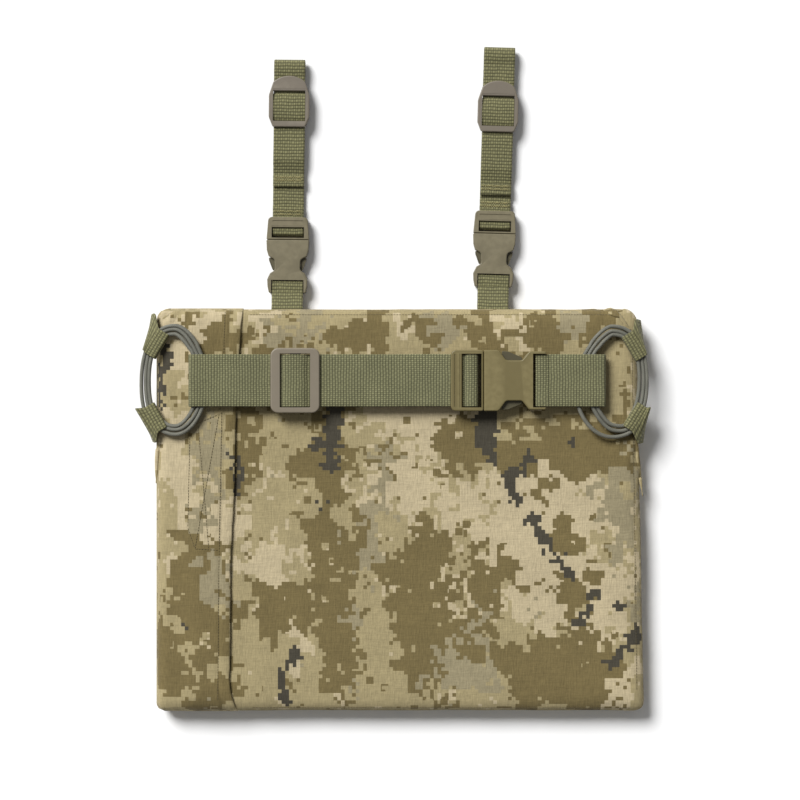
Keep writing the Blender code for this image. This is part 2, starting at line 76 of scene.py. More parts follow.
# The cloth coordinates are stored as UVs, scaled down by this much.
CLOTH_SCALE = 0.01


def row(point):
    return (Vector(point) + SHIFT) * MM


# ================================================================ node helpers

def linear(red, green, blue):
    """An 8-bit screen colour as linear RGBA."""
    def one(value):
        value /= 255
        return value / 12.92 if value <= 0.04045 else ((value + 0.055) / 1.055) ** 2.4
    return (one(red), one(green), one(blue), 1.0)


class Graph:
    """A material's node tree, with one method for each kind of node used here."""

    def __init__(self, name, roughness, specular=0.3, sheen=0.0):
        self.material = bpy.data.materials.new(name)
        self.material.use_nodes = True
        self.tree = self.material.node_tree
        self.shader = self.tree.nodes["Principled BSDF"]
        self.shader.inputs["Roughness"].default_value = roughness
        self.shader.inputs["Specular IOR Level"].default_value = specular
        self.shader.inputs["Sheen Weight"].default_value = sheen
        self.shader.inputs["Sheen Roughness"].default_value = 0.4

    def node(self, kind, **settings):
        made = self.tree.nodes.new(kind)
        for key, value in settings.items():
            setattr(made, key, value)
        return made

    def link(self, value, socket):
        if isinstance(value, bpy.types.NodeSocket):
            self.tree.links.new(value, socket)
        else:
            socket.default_value = value

    def math(self, operation, *values, clamp=False):
        made = self.node("ShaderNodeMath", operation=operation, use_clamp=clamp)
        for value, socket in zip(values, made.inputs):
            self.link(value, socket)
        return made.outputs[0]

    def add(self, *values, clamp=False):
        return self.math("ADD", *values, clamp=clamp)

    def times(self, *values):
        return self.math("MULTIPLY", *values)

    def vector(self, operation, *values, out=0):
        made = self.node("ShaderNodeVectorMath", operation=operation)
        for value, socket in zip(values, made.inputs):
            self.link(value, socket)
        return made.outputs[out]

    def uv(self):
        """The cloth's own coordinates, in millimetres."""
        read = self.node("ShaderNodeUVMap", uv_map="cloth").outputs[0]
        return self.vector("MULTIPLY", read, (1 / CLOTH_SCALE, 1 / CLOTH_SCALE, 1.0))

    def place(self):
        """The piece's own coordinates, in millimetres."""
        read = self.node("ShaderNodeTexCoord").outputs["Object"]
        return self.vector("MULTIPLY", read, (1000.0, 1000.0, 1000.0))

    def xyz(self, vector):
        made = self.node("ShaderNodeSeparateXYZ")
        self.link(vector, made.inputs[0])
        return made.outputs[0], made.outputs[1], made.outputs[2]

    def noise(self, vector, size, detail=2.0, roughness=0.5, flat=False):
        """Noise with features of about this size in millimetres."""
        made = self.node("ShaderNodeTexNoise", noise_dimensions="2D" if flat else "3D")
        self.link(vector, made.inputs["Vector"])
        made.inputs["Scale"].default_value = 1.0 / size
        made.inputs["Detail"].default_value = detail
        made.inputs["Roughness"].default_value = roughness
        return made.outputs[0]

    def white(self, vector):
        made = self.node("ShaderNodeTexWhiteNoise", noise_dimensions="2D")
        self.link(vector, made.inputs["Vector"])
        return made.outputs["Value"]

    def mix(self, factor, first, second):
        made = self.node("ShaderNodeMix", data_type="RGBA")
        self.link(factor, made.inputs[0])
        self.link(first, made.inputs[6])
        self.link(second, made.inputs[7])
        return made.outputs[2]

    def scaled(self, colour, amount):
        """A colour made lighter or darker."""
        if isinstance(colour, tuple):
            colour = colour[:3]
        made = self.node("ShaderNodeVectorMath", operation="SCALE")
        self.link(colour, made.inputs[0])
        self.link(amount, made.inputs["Scale"])
        return made.outputs[0]

    def range(self, value, low, high, to_low, to_high):
        made = self.node("ShaderNodeMapRange")
        for item, socket in zip((value, low, high, to_low, to_high), made.inputs):
            self.link(item, socket)
        return made.outputs[0]

    def finish(self, colour, height=None, distance=0.3, roughness=None):
        """Joins colour, bump height (in millimetres of distance) and roughness to the shader."""
        self.link(colour, self.shader.inputs["Base Color"])
        if roughness is not None:
            self.link(roughness, self.shader.inputs["Roughness"])
        if height is not None:
            bump = self.node("ShaderNodeBump")
            bump.inputs["Distance"].default_value = distance * MM
            bump.inputs["Strength"].default_value = 1.0
            self.link(height, bump.inputs["Height"])
            self.tree.links.new(bump.outputs[0], self.shader.inputs["Normal"])
        return self.material


# ================================================================ materials

SAND = linear(184, 170, 138)
KHAKI = linear(159, 146, 110)
BROWN = linear(114, 101, 67)
GREY = linear(146, 136, 108)
DARK = linear(72, 68, 58)

# Where each colour of the print gathers: middle and half sizes of soft-edged patches.
BROWN_PATCHES = (
    (-51, -66, 17, 26), (-44, -128, 25, 26), (-42, -198, 15, 48), (15, -143, 22, 25),
    (26, -205, 21, 40), (63, -152, 24, 17), (62, -190, 13, 16), (140, -50, 52, 23), (60, -52, 24, 17),
    (115, -224, 37, 22), (-83, -178, 23, 19), (-147, -166, 20, 38), (-171, -215, 13, 24),
    (-140, -237, 14, 15), (-116, -52, 8, 36), (140, -171, 12, 15), (149, -226, 20, 30),
    (-44, 31, 24, 10), (-14, 37, 13, 18), (72, 34, 17, 15), (30, 36, 9, 12), (-92, 28, 11, 9),
    (118, 37, 14, 18), (157, 42, 15, 13), (132, -122, 8, 10), (-131, 32, 12, 15), (-8, -60, 9, 12),
)
SAND_PATCHES = (
    (22, -30, 40, 22), (6, -78, 24, 30), (107, -104, 55, 30), (138, -160, 50, 28), (-94, -140, 24, 14),
    (-73, -182, 8, 26), (-170, -60, 16, 34), (-139, -112, 22, 20), (-104, 42, 10, 14), (12, 43, 8, 10),
    (95, 37, 9, 10), (20, -185, 6, 24), (172, -236, 14, 16), (-160, 30, 22, 22), (40, -160, 6, 22),
)
GREY_PATCHES = (
    (-16, -118, 9, 32), (-8, -76, 5, 26), (174, -104, 14, 42), (54, -228, 22, 22), (66, -190, 6, 22),
    (-30, -188, 7, 16), (-142, -66, 11, 38), (-136, -150, 11, 18), (-76, 36, 18, 12), (42, 40, 14, 14),
    (138, 37, 9, 18), (187, -173, 8, 14),
)
# The dark strokes of the print: both ends and half width.
DARK_STROKES = (
    ((-45, -18), (-47, -66), 6.0), ((-60, -48), (-46, -48), 4.0), ((71, -20), (72, -48), 8.5),
    ((72, -48), (78, -62), 4.0), ((103, -58), (100, -72), 4.0), ((100, -72), (86, -71), 3.5),
    ((88, -74), (94, -92), 5.0), ((107, -107), (116, -124), 4.2), ((116, -124), (137, -151), 3.2),
    ((154, -162), (151, -176), 2.8), ((151, -176), (142, -187), 3.2), ((188, -195), (181, -204), 5.0),
    ((181, -204), (169, -217), 4.6), ((-76, -208), (-72, -214), 3.6), ((-77, -214), (-86, -228), 3.4),
    ((-86, -228), (-82, -246), 3.0), ((135, -48), (138, -48), 2.4), ((-61, -93), (-58, -93), 2.0),
    ((-56, -100), (-53, -100), 2.0), ((-160, -188), (-158, -191), 2.2), ((-176, 26), (-172, 12), 4.0),
    ((-179, 8), (-180, -16), 4.0), ((-121, -60), (-118, -84), 2.8), ((170, -172), (175, -176), 2.2),
)


# The print's square blocks, how far away its grid starts, and the stretch of cloth after which it repeats.
BLOCK = 2.85
GRID_START = (510.0, 714.0)
PRINT_TOP, PRINT_BOTTOM = 78.0, -278.0
FAR = 2000.0


def camouflage(name, seed=(0.0, 0.0)):
    """Woven cloth printed with a block camouflage."""
    g = Graph(name, 0.92, specular=0.12, sheen=0.15)
    spot = g.uv()
    cell = g.vector("SNAP", g.vector("ADD", spot, (*GRID_START, 0.0)), (BLOCK, BLOCK, 1.0))
    cell = g.vector("SUBTRACT", cell, (GRID_START[0] - BLOCK / 2, GRID_START[1] - BLOCK / 2, 0.0))

    def drift(place, offset, size, amount):
        made = g.node("ShaderNodeTexNoise", noise_dimensions="2D")
        g.link(g.vector("ADD", place, (offset + seed[0], offset * 0.6 + seed[1], 0.0)), made.inputs["Vector"])
        made.inputs["Scale"].default_value = 1.0 / size
        made.inputs["Detail"].default_value = 1.0
        shift = g.vector("SUBTRACT", made.outputs["Color"], (0.5, 0.5, 0.5))
        return g.vector("ADD", place, g.vector("MULTIPLY", shift, (amount, amount, 0.0)))

    def repeated(place):
        """The print starts again where the cloth runs on to the back of the panel."""
        wrap = g.node("ShaderNodeVectorMath", operation="WRAP")
        g.link(place, wrap.inputs[0])
        g.link((FAR, PRINT_TOP, 1.0), wrap.inputs[1])
        g.link((-FAR, PRINT_BOTTOM, -1.0), wrap.inputs[2])
        return wrap.outputs[0]

    warped = repeated(drift(cell, 31.0, 15.0, 40.0))
    curled = repeated(drift(cell, 77.0, 6.0, 17.0))

    def nearest(place, items):
        """How far from the nearest patch, as a share of its size."""
        least = 9.0
        for x, y, half_x, half_y in items:
            away = g.node("ShaderNodeVectorMath", operation="MULTIPLY_ADD")
            g.link(place, away.inputs[0])
            g.link((1.0 / half_x, 1.0 / half_y, 0.0), away.inputs[1])
            g.link((-x / half_x, -y / half_y, 0.0), away.inputs[2])
            length = g.vector("LENGTH", away.outputs[0], out=1)
            least = g.math("MINIMUM", length, least)
        return least

    def field(place, offset, size, stretch, jag, items):
        """Where one colour lies: noise, ragged at its edges, drawn towards that colour's patches."""
        spread = g.vector("MULTIPLY", place, (stretch[0], stretch[1], 1.0))
        spread = g.vector("ADD", spread, (offset + seed[0], offset * 0.7 + seed[1], 0.0))
        small = g.vector("MULTIPLY", place, (1.0, 0.7, 1.0))
        small = g.vector("ADD", small, (offset * 1.3 + 57.0, offset, 0.0))
        total = g.math("SUBTRACT", g.noise(spread, size, 1.4, 0.5, flat=True), 0.5)
        crumbs = g.math("SUBTRACT", g.noise(small, 6.2, 0.5, 0.5, flat=True), 0.5)
        total = g.add(total, g.times(crumbs, jag))
        pull = g.range(nearest(warped, items), 0.35, 1.75, 0.27, -0.27)
        return g.add(g.times(total, 0.95), pull)

    def stroke(start, end, half):
        """Distance from a stroke, as a share of its half width."""
        a, b = Vector((*start, 0.0)), Vector((*end, 0.0))
        along = b - a
        away = g.vector("SUBTRACT", curled, tuple(a))
        share = g.vector("DOT_PRODUCT", away, tuple(along / along.length_squared), out=1)
        share = g.add(share, 0.0, clamp=True)
        foot = g.node("ShaderNodeVectorMath", operation="SCALE")
        g.link(tuple(along), foot.inputs[0])
        g.link(share, foot.inputs["Scale"])
        gone = g.vector("SUBTRACT", g.vector("SUBTRACT", curled, foot.outputs[0]), tuple(a))
        gone = g.vector("MULTIPLY", gone, (1.0, 1.0, 0.0))
        return g.math("DIVIDE", g.vector("LENGTH", gone, out=1), half)

    coarse = g.vector("SNAP", g.vector("ADD", spot, (505.0, 707.0, 0.0)), (BLOCK * 2, BLOCK * 2, 1.0))
    speck = g.white(coarse)
    speck_shift = g.math("SUBTRACT", g.math("GREATER_THAN", speck, 0.978), g.math("LESS_THAN", speck, 0.014))
    brown = field(warped, 11.0, 20.0, (1.1, 0.65), 0.34, BROWN_PATCHES)
    brown = g.add(brown, g.times(speck_shift, 0.25))
    sand = field(warped, 233.0, 18.0, (1.1, 0.6), 0.34, SAND_PATCHES)
    grey = field(warped, 517.0, 18.0, (1.4, 0.5), 0.36, GREY_PATCHES)
    dark = 9.0
    for start, end, half in DARK_STROKES:
        dark = g.math("MINIMUM", stroke(start, end, half), dark)

    colour = g.mix(g.math("GREATER_THAN", sand, -0.06), KHAKI, SAND)
    colour = g.mix(g.math("GREATER_THAN", brown, -0.05), colour, BROWN)
    colour = g.mix(g.math("GREATER_THAN", grey, 0.05), colour, GREY)
    colour = g.mix(g.math("LESS_THAN", dark, 1.0), colour, DARK)

    # Threads: an even fine weave, with slubs along each direction and a slow unevenness of the dye.
    x, y, _ = g.xyz(spot)
    across = g.math("ABSOLUTE", g.math("SINE", g.times(x, math.pi / 0.8)))
    up = g.math("ABSOLUTE", g.math("SINE", g.times(y, math.pi / 0.9)))
    weave = g.times(g.add(across, up), 0.5)
    slub_x = g.noise(g.vector("MULTIPLY", spot, (1.0, 0.14, 1.0)), 1.1, 2.0, 0.65, flat=True)
    slub_y = g.noise(g.vector("MULTIPLY", spot, (0.14, 1.0, 1.0)), 1.2, 2.0, 0.65, flat=True)
    slub = g.add(g.times(slub_x, 1.25), g.times(slub_y, 0.75))
    wear = g.noise(spot, 34.0, 3.0, 0.6, flat=True)
    tone = g.add(g.times(slub, 0.36), g.times(wear, 0.3))
    # The weave's low places are painted a little darker here, as shade between the threads.
    tone = g.add(tone, g.times(weave, 0.16))
    colour = g.scaled(colour, g.add(tone, 0.4))
    height = g.add(g.times(weave, 0.6), g.times(slub, 0.8))
    rumple = g.noise(spot, 9.0, 2.0, 0.5, flat=True)
    height = g.add(height, g.times(rumple, 1.2))
    return g.finish(colour, height, 0.3)


def webbing(name, light, dark, pitch):
    """Heavy woven nylon tape, with its threads over and under each other, the low threads painted darker as shade
    between the raised ones.
    """
    g = Graph(name, 0.72, specular=0.3, sheen=0.15)
    spot = g.uv()
    x, y, _ = g.xyz(spot)
    drift = g.noise(spot, 14.0, 2.0, 0.5, flat=True)
    a = g.add(g.math("DIVIDE", x, pitch[0]), g.times(drift, 0.5))
    b = g.math("DIVIDE", y, pitch[1])
    odd = g.math("MODULO", g.add(g.math("FLOOR", a), g.math("FLOOR", b)), 2.0)
    odd = g.math("ABSOLUTE", odd)
    fraction_a = g.math("FRACT", a)
    fraction_b = g.math("FRACT", b)
    swell_a = g.math("SINE", g.times(fraction_a, math.pi))
    swell_b = g.math("SINE", g.times(fraction_b, math.pi))
    body = g.times(g.math("POWER", swell_a, 0.75), g.math("POWER", swell_b, 0.35))
    height = g.times(body, g.add(g.times(odd, 0.28), 0.72))
    lie = g.noise(g.vector("MULTIPLY", spot, (0.12, 1.0, 1.0)), 0.9, 2.0, 0.6, flat=True)
    fuzz = g.noise(spot, 0.5, 2.0, 0.6, flat=True)
    # The colour runs from dark to light with the threads' height: painted shade where they lie low, plus random
    # tone from lie and fuzz.
    shade = g.add(g.times(height, 0.85), g.times(lie, 0.35))
    shade = g.add(shade, g.times(fuzz, 0.16))
    colour = g.mix(g.math("SUBTRACT", shade, 0.08, clamp=True), dark, light)
    patchy = g.noise(spot, 22.0, 2.0, 0.5, flat=True)
    colour = g.scaled(colour, g.add(g.times(patchy, 0.3), 0.85))
    rough = g.add(g.times(fuzz, 0.25), 0.6)
    return g.finish(colour, g.add(height, g.times(fuzz, 0.15)), 0.42, rough)


def plastic(name, base, worn_and_highlit):
    """Moulded nylon: a fine grain, faint flow marks, and paler edges that are partly handling wear and partly a
    painted highlight along the rims.
    """
    roughness = 0.46
    g = Graph(name, roughness, specular=0.42)
    spot = g.place()
    grain = g.noise(spot, 0.7, 3.0, 0.6)
    flow = g.noise(g.vector("MULTIPLY", spot, (1.0, 0.4, 1.0)), 16.0, 3.0, 0.55)
    # Convex edges are painted paler: partly handling wear, partly a painted highlight along the rims.
    point = g.node("ShaderNodeNewGeometry").outputs["Pointiness"]
    edge = g.range(point, 0.515, 0.6, 0.0, 0.55)
    wear_and_highlight = g.times(edge, g.range(g.noise(spot, 5.0, 2.0, 0.5), 0.35, 0.65, 0.45, 1.0))
    colour = g.mix(wear_and_highlight, base, worn_and_highlit)
    tone = g.add(g.times(flow, 0.06), g.times(grain, 0.12))
    colour = g.scaled(colour, g.add(tone, 0.91))
    rough = g.add(g.times(flow, 0.1), roughness - 0.05)
    height = g.times(grain, 0.5)
    return g.finish(colour, height, 0.07, rough)


def braid(name, light, dark):
    """Elastic cord in a braided sheath, its strands painted darker where they dip, as shade between them."""
    g = Graph(name, 0.5, specular=0.4, sheen=0.1)
    x, y, _ = g.xyz(g.uv())
    first = g.math("FRACT", g.add(g.times(x, 0.62), g.times(y, 0.85)))
    second = g.math("FRACT", g.math("SUBTRACT", g.times(x, 0.62), g.times(y, 0.85)))
    swell = g.times(g.math("SINE", g.times(first, math.pi)),
                   g.math("SINE", g.times(second, math.pi)))
    patchy = g.noise(g.uv(), 9.0, 2.0, 0.5, flat=True)
    # Colour follows the braid's swell: painted shade in the hollows between strands, with random patchy tone.
    shade = g.add(g.times(swell, 0.7), g.times(patchy, 0.4), clamp=True)
    colour = g.mix(shade, dark, light)
    return g.finish(colour, swell, 0.16)


def thread(name, colour):
    g = Graph(name, 0.6, specular=0.3, sheen=0.2)
    twist = g.noise(g.place(), 0.5, 1.0, 0.5)
    return g.finish(g.scaled(colour, g.add(g.times(twist, 0.6), 0.7)), twist, 0.1)


def floor_paper():
    g = Graph("floor_paper", 0.95, specular=0.1)
    g.shader.inputs["Base Color"].default_value = (0.93, 0.93, 0.93, 1.0)
    return g.material


CAMO = camouflage("camouflage_cloth")
CAMO_FLAP = camouflage("camouflage_flap", (310.0, 90.0))
WEB = webbing("olive_tape", linear(136, 135, 99), linear(38, 38, 22), (2.15, 1.55))
WEB_STRAP = webbing("olive_strap_tape", linear(135, 132, 93), linear(36, 36, 20), (2.5, 1.8))
SAND_PLASTIC = plastic("sand_plastic", linear(105, 95, 60), linear(136, 125, 86))
TAUPE_PLASTIC = plastic("taupe_plastic", linear(121, 112, 97), linear(148, 139, 122))
LOCK_PLASTIC = plastic("lock_plastic", linear(112, 104, 92), linear(140, 132, 117))
BUCKLE_TAUPE = plastic("buckle_taupe_plastic", linear(105, 98, 77), linear(134, 126, 101))
# The latch arms are the buckle's own plastic, painted darker as shade for the shadow they lie in inside the side
# notches.
SHADED_ARM_PLASTIC = plastic("arm_plastic_painted_shade", linear(74, 69, 50), linear(96, 90, 68))
CORD = braid("cord_sheath", linear(140, 139, 125), linear(52, 53, 48))
# The cover's thread is its olive colour painted darker, as shade in the holes where the stitches sink.
SHADED_COVER_THREAD = thread("cover_thread_painted_shade", linear(92, 82, 57))
STRAP_THREAD = thread("strap_thread", linear(146, 138, 94))


# ================================================================ mesh helpers

def make(name, points, faces, material, uvs=None, sharp=None):
    """A mesh object from points in drawing coordinates, its faces turned outwards."""
    mesh = bpy.data.meshes.new(name)
    mesh.from_pydata([row(p) for p in points], [], faces)
    if uvs is not None:
        layer = mesh.uv_layers.new(name="cloth")
        layer.data.foreach_set("uv", np.asarray(uvs, np.float32).ravel() * CLOTH_SCALE)
    bm = bmesh.new()
    bm.from_mesh(mesh)
    bmesh.ops.recalc_face_normals(bm, faces=bm.faces)
    bm.to_mesh(mesh)
    bm.free()
    mesh.shade_smooth()
    if sharp:
        mesh.set_sharp_from_angle(angle=math.radians(sharp))
    mesh.materials.append(material)
    obj = bpy.data.objects.new(name, mesh)
    bpy.context.scene.collection.objects.link(obj)
    return obj


def loft(rings, along, around, closed=False):
    """Points, faces and cloth coordinates of a skin through rings of points."""
    count = len(rings[0])
    total = len(rings)
    points = [p for ring in rings for p in ring]
    faces = []
    uvs = []
    for i in range(total if closed else total - 1):
        j = (i + 1) % total
        for k in range(count):
            m = (k + 1) % count
            faces.append((i * count + k, i * count + m, j * count + m, j * count + k))
            uvs += [(along[i], around[k]), (along[i], around[k + 1]),
                    (along[i + 1], around[k + 1]), (along[i + 1], around[k])]
    if not closed:
        for i in (0, total - 1):
            faces.append(tuple(i * count + k for k in range(count)))
            uvs += [(along[i], around[k]) for k in range(count)]
    return points, faces, uvs


def settled(obj, body, slot, *nodes):
    """Fixes a finished piece to its body and hides the CAD nodes it stands for; the slot argument is not used."""
    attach(obj, body)
    if nodes:
        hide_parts(*nodes)
    return obj


EDGE_WANDER = 0.12


def tape_rings(rulings, thickness, closed, seed):
    """Cross-sections with rounded selvedges, along straight lines (p, q) that lie across the tape."""
    middles = [(p + q) / 2 for p, q in rulings]
    last = len(rulings) - 1
    half = thickness / 2
    rings = []
    around = []
    along = [0.0]
    for i, (p, q) in enumerate(rulings):
        before = middles[i - 1] if closed else middles[max(i - 1, 0)]
        after = middles[(i + 1) % len(middles)] if closed else middles[min(i + 1, last)]
        side = (q - p).normalized()
        up = (after - before).cross(q - p).normalized()
        width = (q - p).length
        at = along[-1]
        p_edge = EDGE_WANDER * noise.noise(Vector((at * 0.35, seed, 1.0)))
        q_edge = EDGE_WANDER * noise.noise(Vector((at * 0.35, seed, 9.0)))
        ring = []
        spots = []
        for k in range(11):
            v = half + (width - 2 * half) * k / 10
            ring.append(p + side * v + up * half)
            spots.append(v)
        for degrees in (45, 90, 135):
            turn = math.radians(degrees)
            ring.append(q - side * (half * (1 - math.sin(turn)) + q_edge) + up * half * math.cos(turn))
            spots.append(width - half * (1 - math.sin(turn)) * 0.5)
        for k in range(10, -1, -1):
            v = half + (width - 2 * half) * k / 10
            ring.append(p + side * v - up * half)
            spots.append(v)
        for degrees in (135, 90, 45):
            turn = math.radians(degrees)
            ring.append(p + side * (half * (1 - math.sin(turn)) + p_edge) + up * half * math.cos(turn))
            spots.append(half * (1 - math.sin(turn)) * 0.5)
        rings.append(ring)
        around = around or spots + [spots[0]]
        ahead = middles[(i + 1) % len(middles)]
        along.append(at + (ahead - middles[i]).length)
    return rings, along, around


def tape(name, rulings, thickness, material, closed=False, seed=0.0):
    rings, along, around = tape_rings(rulings, thickness, closed, seed)
    points, faces, uvs = loft(rings, along, around, closed)
    return make(name, points, faces, material, uvs)


def arc(centre, radius, start, end, steps=10):
    angles = [math.radians(start + (end - start) * i / steps) for i in range(steps + 1)]
    return [(centre[0] + radius * math.cos(a), centre[1] + radius * math.sin(a)) for a in angles]


def dense(path, step, closed=False):
    """Adds points between those that lie further apart than step."""
    ends = path + [path[0]] if closed else path
    finer = [ends[0]]
    for a, b in zip(ends, ends[1:]):
        parts = max(1, math.ceil(math.dist(a, b) / step))
        finer += [tuple(p + (q - p) * k / parts for p, q in zip(a, b)) for k in range(1, parts + 1)]
    return finer[:-1] if closed else finer


def subdivided(rulings, step):
    finer = [rulings[0]]
    for (p, q), (next_p, next_q) in zip(rulings, rulings[1:]):
        parts = max(1, round(max((next_p - p).length, (next_q - q).length) / step))
        finer += [(p.lerp(next_p, k / parts), q.lerp(next_q, k / parts)) for k in range(1, parts + 1)]
    return finer


def smoothed(rulings, passes):
    """Rulings drawn towards their neighbours' middle, with both ends kept."""
    for _ in range(passes):
        kept = [rulings[0]]
        for (a, b), (p, q), (c, d) in zip(rulings, rulings[1:], rulings[2:]):
            kept.append(((a + c) / 4 + p / 2, (b + d) / 4 + q / 2))
        rulings = kept + [rulings[-1]]
    return rulings


def across_y(path, width, middle_y, wave=0.0, seed=0.0):
    """Rulings across Y for a tape whose middle follows (x, z) points."""
    rulings = []
    for x, z in path:
        drift = wave * noise.noise(Vector((x * 0.02, seed, 0.0)))
        lift = wave * 0.35 * noise.noise(Vector((x * 0.05, seed, 5.0)))
        rulings.append((Vector((x, middle_y - width / 2 + drift, z + lift)),
                        Vector((x, middle_y + width / 2 + drift, z + lift))))
    return rulings


def tube(route, radius, sides):
    """Rings round a route, turned as little as possible from one to the next."""
    last = len(route) - 1
    rings = []
    along = [0.0]
    up = Vector((0, 0, 1))
    for i, spot in enumerate(route):
        after = route[min(i + 1, last)]
        forward = (after - route[max(i - 1, 0)]).normalized()
        up = (up - forward * up.dot(forward)).normalized()
        side = forward.cross(up)
        size = radius[i] if isinstance(radius, list) else radius
        turns = [2 * math.pi * k / sides for k in range(sides)]
        rings.append([spot + (up * math.cos(a) + side * math.sin(a)) * size for a in turns])
        along.append(along[-1] + (after - spot).length)
    size = max(radius) if isinstance(radius, list) else radius
    around = [2 * math.pi * size * k / sides for k in range(sides + 1)]
    return rings, along, around


def pieced(name, skins, material):
    """One mesh of several closed skins, each through its own rings of points."""
    points = []
    faces = []
    for rings in skins:
        own, sides, _ = loft(rings, [0.0] * (len(rings) + 1), [0.0] * (len(rings[0]) + 1))
        faces += [tuple(len(points) + i for i in face) for face in sides]
        points += own
    return make(name, points, faces, material)


def stitches(name, lines, material, length, gap, radius):
    """Separate small stitches along lines of (point, up) pairs."""
    skins = []
    for line in lines:
        spots = [Vector(p) for p, _ in line]
        ups = [Vector(u) for _, u in line]
        lengths = [0.0]
        for a, b in zip(spots, spots[1:]):
            lengths.append(lengths[-1] + (b - a).length)

        def on_line(distance):
            distance = min(max(distance, 0.0), lengths[-1])
            i = min(max(np.searchsorted(lengths, distance) - 1, 0), len(spots) - 2)
            share = (distance - lengths[i]) / max(lengths[i + 1] - lengths[i], 1e-6)
            return spots[i].lerp(spots[i + 1], share), ups[i].lerp(ups[i + 1], share).normalized()

        start = 0.3
        while start + length < lengths[-1]:
            route = []
            for share, sink in ((0.0, -0.35), (0.14, 0.08), (0.5, 0.24), (0.86, 0.08), (1.0, -0.35)):
                spot, up = on_line(start + length * share)
                route.append(spot + up * sink)
            skins.append(tube(route, [radius * s for s in (0.6, 0.95, 1.0, 0.95, 0.6)], 6)[0])
            start += length + gap
    return pieced(name, skins, material)


# ================================================================ the padded panel

def rounded(corners, steps=4):
    outline = []
    for i, (u, v, radius) in enumerate(corners):
        corner = Vector((u, v))
        if radius == 0:
            outline.append((u, v))
            continue
        back = (Vector(corners[i - 1][:2]) - corner).normalized()
        ahead = (Vector(corners[(i + 1) % len(corners)][:2]) - corner).normalized()
        half = back.angle(ahead) / 2
        centre = corner + (back + ahead).normalized() * radius / math.sin(half)
        start = corner + back * radius / math.tan(half) - centre
        end = corner + ahead * radius / math.tan(half) - centre
        sweep = start.angle_signed(end)
        for k in range(steps + 1):
            turned = start.copy()
            turned.rotate(Matrix.Rotation(-sweep * k / steps, 2))
            outline.append(tuple(centre + turned))
    return outline


def flare(x, y):
    return PAD_FLARE * (x - PAD_LEFT) / (PAD_RIGHT - PAD_LEFT) * (PAD_TOP - y) / (PAD_TOP - PAD_BOTTOM)


def pad_outline(inset, steps=8):
    left, right = PAD_LEFT + inset, PAD_RIGHT - inset
    bottom, top = PAD_BOTTOM + inset, PAD_TOP - inset
    radii = [max(radius - inset * INSET_SHARE, 2.0) for radius in CORNER_RADII]
    spots = ((right, top), (left, top), (left, bottom), (right, bottom))
    outline = rounded([(x, y, r) for (x, y), r in zip(spots, radii)], steps)
    return [(x + flare(x, y), y) for x, y in outline]


# Where the back's cloth was cut from, measured from the mirrored front.
BACK_CUT = (6.0, 150.0)


def cloth_spots(mesh):
    """Cloth coordinates that run over the panel's edges instead of stretching down them."""
    layer = mesh.uv_layers.get("cloth") or mesh.uv_layers.new(name="cloth")
    flat = np.zeros((len(mesh.loops), 2), np.float32)
    cx, cy = (PAD_LEFT + PAD_RIGHT) / 2, (PAD_TOP + PAD_BOTTOM) / 2
    half_x, half_y = (PAD_RIGHT - PAD_LEFT) / 2, (PAD_TOP - PAD_BOTTOM) / 2
    for polygon in mesh.polygons:
        under = polygon.normal.z < -0.75
        centre = Vector(polygon.center) / MM - SHIFT
        to_x = half_x - abs(centre.x - cx)
        to_y = half_y - abs(centre.y - cy)
        for loop in polygon.loop_indices:
            p = mesh.vertices[mesh.loops[loop].vertex_index].co / MM - SHIFT
            down = 0.0 if under else max(0.0, PAD_FACE_Z - p.z)
            if to_x < to_y:
                flat[loop] = (p.x + math.copysign(down, p.x - cx), p.y)
            else:
                flat[loop] = (p.x, p.y + math.copysign(down, p.y - cy))
            if under:
                flat[loop] = (BACK_CUT[0] - flat[loop][0], flat[loop][1] + BACK_CUT[1])
    layer.data.foreach_set("uv", flat.ravel() * CLOTH_SCALE)


def vertices_of(mesh):
    spots = np.zeros(len(mesh.vertices) * 3)
    mesh.vertices.foreach_get("co", spots)
    return spots.reshape(-1, 3)


def applied(obj):
    """Replaces an object's mesh by what its modifiers make of it."""
    bpy.context.view_layer.update()
    graph = bpy.context.evaluated_depsgraph_get()
    mesh = bpy.data.meshes.new_from_object(obj.evaluated_get(graph))
    obj.modifiers.clear()
    old = obj.data
    obj.data = mesh
    bpy.data.meshes.remove(old)


def inflate(obj, pressure, cap):
    """Fills a closed cloth shape for 20 frames, moving no point by more than cap millimetres."""
    rest = vertices_of(obj.data)
    cloth = obj.modifiers.new("fill", "CLOTH")
    cloth.settings.use_pressure = True
    cloth.settings.uniform_pressure_force = pressure
    cloth.settings.effector_weights.gravity = 0.0
    cloth.settings.quality = 5
    cloth.settings.mass = 0.3
    cloth.settings.tension_stiffness = 15
    cloth.settings.compression_stiffness = 15
    cloth.settings.shear_stiffness = 5
    cloth.settings.bending_stiffness = 0.5
    scene = bpy.context.scene
    for step in range(1, 21):
        scene.frame_set(step)
    graph = bpy.context.evaluated_depsgraph_get()
    filled = obj.evaluated_get(graph)
    moved = vertices_of(filled.data) - rest
    length = np.linalg.norm(moved, axis=1, keepdims=True)
    limit = cap * MM
    moved *= np.tanh(length / limit) * limit / np.maximum(length, 1e-9)
    obj.modifiers.clear()
    scene.frame_set(1)
    full = rest + moved
    for axis in (0, 1):
        low, high = full[:, axis].min(), full[:, axis].max()
        share = (full[:, axis] - low) / (high - low)
        full[:, axis] = rest[:, axis].min() + share * np.ptp(rest[:, axis])
    obj.data.vertices.foreach_set("co", full.ravel())
    obj.data.update()


